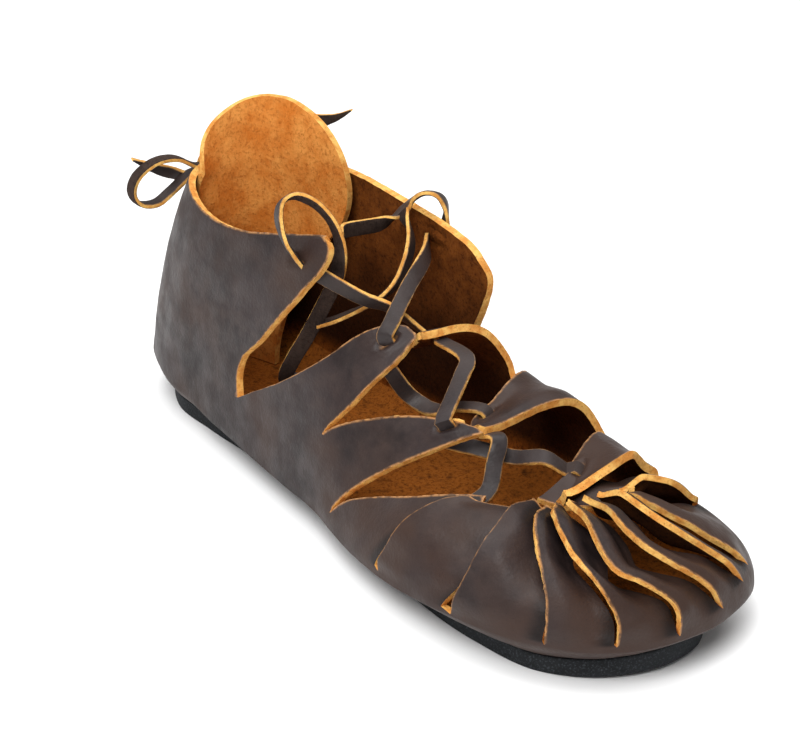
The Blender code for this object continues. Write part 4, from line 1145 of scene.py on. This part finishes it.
def make_sole():
    """The sole: cross strips on top and below, with a rounded side all round."""
    stations = sole_stations()
    outer = [(x, y) for x, y, _ in stations]
    inner = [(x, y) for x, _, y in stations[1:-1]][::-1]
    plan = np.array(outer + inner)
    inward = unit(plan.mean(axis=0) - plan)
    low = sole_bottom(plan[:, 0])
    high = SOLE_THICK + toe_rise(plan[:, 0])
    levels = []
    for turn in np.linspace(0.0, math.pi / 2, SOLE_TURNS):
        levels.append((SOLE_BEVEL * (1.0 - math.sin(turn)), low + SOLE_BEVEL * (1.0 - math.cos(turn))))
    levels += [(inset, high + low - height) for inset, height in reversed(levels)]
    shape = bmesh.new()
    rings = []
    for inset, height in levels:
        points = metres(np.column_stack([plan + inward * inset, height]))
        rings.append([shape.verts.new(p) for p in points])
    for lower, upper in zip(rings, rings[1:]):
        ring_faces(shape, lower, upper)
    count = len(plan)
    for ring in (rings[0], rings[-1]):
        for i in range(SOLE_STEPS):
            across = [ring[i], ring[i + 1], ring[count - i - 1], ring[(count - i) % count]]
            shape.faces.new(list(dict.fromkeys(across)))
    bmesh.ops.recalc_face_normals(shape, faces=shape.faces)
    item = add_object("foam_sole", shape, (RUBBER,))
    dress(item, "rubber", "outsole")


def spread_route(rows):
    """Rows about a step apart on a smooth curve through the rows of a route, which start with x, y and z."""
    rows = np.asarray(rows, float)
    lengths = np.linalg.norm(np.diff(rows[:, 0:3], axis=0), axis=1)
    shares = [np.zeros(1)]
    for i, length in enumerate(lengths):
        pieces = max(1, round(length / LACE_STEP))
        shares.append((i + np.arange(1, pieces + 1) / pieces) / len(lengths))
    return curve_points(rows, np.concatenate(shares))


def width_direction(plan, tilt):
    """Unit direction at a plan angle and a tilt above it, in degrees."""
    plan, tilt = np.radians(plan), np.radians(tilt)
    return np.stack([np.cos(plan) * np.cos(tilt), np.sin(plan) * np.cos(tilt), np.sin(tilt)], axis=-1)


def free_route(rows):
    """Middles and width directions of a free stretch."""
    rows = np.asarray(rows, float)
    route = spread_route(np.column_stack([rows[:, 0:3], width_direction(rows[:, 3], rows[:, 4])]))
    return route[:, 0:3], route[:, 3:6]


def bar_route(stops):
    """Middles and width directions of a crossing. Free points take their direction from the spots around."""
    middles, normals, spots = [], [], []
    for i, stop in enumerate(stops):
        if not isinstance(stop[0], str):
            middles.append(np.array(stop))
            continue
        point, normal = tab_spot(*stop[0:3])
        reach = LACE_CLEAR + LACE_THICK / 2
        offset = {"out": reach, "in": -LEATHER - reach, "slit": -LEATHER - reach}[stop[3]]
        middles.append(point + normal * offset)
        if stop[3] != "slit":
            normals.append(normal)
            spots.append(i)
    middles = np.array(middles)
    along = np.gradient(middles, axis=0)
    sides = unit([np.cross(along[i], normal) for i, normal in zip(spots, normals)])
    for k in range(1, len(sides)):
        if sides[k] @ sides[k - 1] < 0.0:
            sides[k] = -sides[k]
    order = np.arange(len(stops))
    side = np.column_stack([np.interp(order, spots, column) for column in sides.T])
    route = spread_route(np.column_stack([middles, side]))
    return route[:, 0:3], route[:, 3:6]


def lace_shape():
    """An empty bmesh with the values that the lace's material reads."""
    shape = bmesh.new()
    for layer in ("edge_mm", "pull_and_painted_light"):
        shape.verts.layers.float.new(layer)
    return shape


def lace_ring(shape, middle, side, top):
    """Vertices round the flat lace's section."""
    edge_layer = shape.verts.layers.float["edge_mm"]
    ring = []
    for across, up in LACE_SECTION:
        vert = shape.verts.new(metres(middle + side * (across * LACE_WIDTH) + top * (up * LACE_THICK)))
        vert[edge_layer] = (0.5 - abs(across)) * LACE_WIDTH
        ring.append(vert)
    return ring


def lace_faces(shape, below, ring, back):
    """Faces between two rings: grain on top, cut edges, and a material for the back."""
    for j, face in enumerate(ring_faces(shape, below, ring)):
        if j in (0, len(LACE_TOP)):
            face.material_index = CUT_SIDE
        elif j > len(LACE_TOP):
            face.material_index = back


def lace_mesh(middles, sides, pointed):
    """A flat lace swept along its route: grain on top, flesh side below in a dark painted shade, and pale cut
    edges.
    """
    along = unit(np.gradient(middles, axis=0))
    sides = unit(sides - along * (sides * along).sum(axis=1)[:, None])
    tops = np.cross(sides, along)
    left = np.append(np.cumsum(np.linalg.norm(np.diff(middles, axis=0), axis=1)[::-1])[::-1], 0.0)
    narrow = np.ones(len(left))
    if pointed:
        narrow = POINT_WIDTH + (1.0 - POINT_WIDTH) * np.minimum(left / POINT_LENGTH, 1.0)
    shape = lace_shape()
    below = None
    for middle, side, top, share in zip(middles, sides, tops, narrow):
        ring = lace_ring(shape, middle, side * share, top)
        for vert in ring:
            vert.co += noise.noise_vector(vert.co / (WANDER_SIZE * MM)) * (LACE_WANDER * MM)
        if below:
            lace_faces(shape, below, ring, SUEDE_SIDE)
        else:
            shape.faces.new(ring).material_index = CUT_SIDE
        below = ring
    shape.faces.new(below).material_index = CUT_SIDE
    bmesh.ops.recalc_face_normals(shape, faces=shape.faces)
    return shape


def make_laces():
    """Crossings and free stretches of the lace."""
    for name, stops in BARS.items():
        middles, sides = bar_route(stops)
        item = add_object(name + "_strap", lace_mesh(middles, sides, False), LACE_MATERIALS)
        dress(item, "lace", name)
    for name, rows in FREE_LACES.items():
        facts = dict(zip(FREE_COLUMNS, FREE_FACTS[name]))
        middles, sides = free_route(rows)
        item = add_object(name + "_strap", lace_mesh(middles, sides, facts["pointed"]), LACE_MATERIALS)
        dress(item, "lace", *facts["nodes"])


def make_knot():
    """The knot against the back of the heel, as bands of lace wound side by side."""
    shape = lace_shape()
    for shift, slant in KNOT_BANDS:
        lean = math.tan(math.radians(slant))
        rings = []
        for turn in np.linspace(0.0, 2 * math.pi, KNOT_STEPS, endpoint=False):
            out = np.array([math.cos(turn), 0.0, math.sin(turn)])
            middle = np.array(KNOT_MIDDLE) + out * (KNOT_ACROSS[0], 0.0, KNOT_ACROSS[1])
            middle[1] += shift + lean * KNOT_ACROSS[1] * math.sin(turn)
            rings.append(lace_ring(shape, middle, np.array([0.0, 1.0, 0.0]), out))
        for below, ring in zip(rings, rings[1:] + rings[:1]):
            lace_faces(shape, below, ring, GRAIN_SIDE)
    bmesh.ops.recalc_face_normals(shape, faces=shape.faces)
    item = add_object("lace_knot_bands", shape, LACE_MATERIALS)
    dress(item, "lace", "lace_knot")


def add_aimed(data, place, target=(0.0, 0.0, 0.0)):
    """A lamp or camera at a place in metres, turned to a target, or to the frame's origin."""
    item = put_in_scene(data.name, data)
    item.location = place
    item.rotation_euler = (Vector(target) - Vector(place)).to_track_quat("-Z", "Y").to_euler()
    return item


def add_stage():
    """Floor, surroundings and lamps."""
    shape = bmesh.new()
    bmesh.ops.create_grid(shape, x_segments=2, y_segments=2, size=FLOOR_HALF)
    look = Look("pale floor", 0.2)
    clouded = tuple(FLOOR_CLOUD * c for c in FLOOR_PALE)
    look.finish(look.mix(look.noise(FLOOR_CLOUD_SIZE), FLOOR_PALE, clouded), 0.7)
    add_object("studio_floor", shape, (look.material,))
    world = bpy.data.worlds.new("studio")
    world.use_nodes = True
    surround = world.node_tree.nodes["Background"]
    surround.inputs["Color"].default_value = (1.0, 1.0, 1.0, 1.0)
    surround.inputs["Strength"].default_value = WORLD_LIGHT
    bpy.context.scene.world = world
    for name, place, size, power in LAMPS:
        lamp = bpy.data.lights.new(name, "AREA")
        lamp.shape = "DISK"
        lamp.size = size
        lamp.energy = power
        add_aimed(lamp, place)
    sky = bpy.data.lights.new("sky", "SUN")
    sky.angle = math.radians(SKY_ANGLE)
    sky.energy = SKY_POWER
    add_aimed(sky, SKY_FROM)


def add_camera():
    """The photograph's eye point, turned to the one shoe."""
    azimuth, elevation = math.radians(PHOTO_AZIMUTH), math.radians(PHOTO_ELEVATION)
    level = math.cos(elevation)
    back = np.array([math.sin(azimuth) * level, -math.cos(azimuth) * level, math.sin(elevation)])
    eye = metres(np.array(PHOTO_TARGET) + back * PHOTO_DISTANCE)
    lens = bpy.data.cameras.new("photo")
    lens.lens = LENS
    lens.clip_start = CLIP_START
    bpy.context.scene.camera = add_aimed(lens, eye, metres(AIM))


noise.seed_set(WANDER_SEED)
add_camera()
make_laces()
make_knot()
make_upper()
make_heel_tab()
make_sole()
add_stage()
bpy.context.scene.view_settings.view_transform = "Standard"
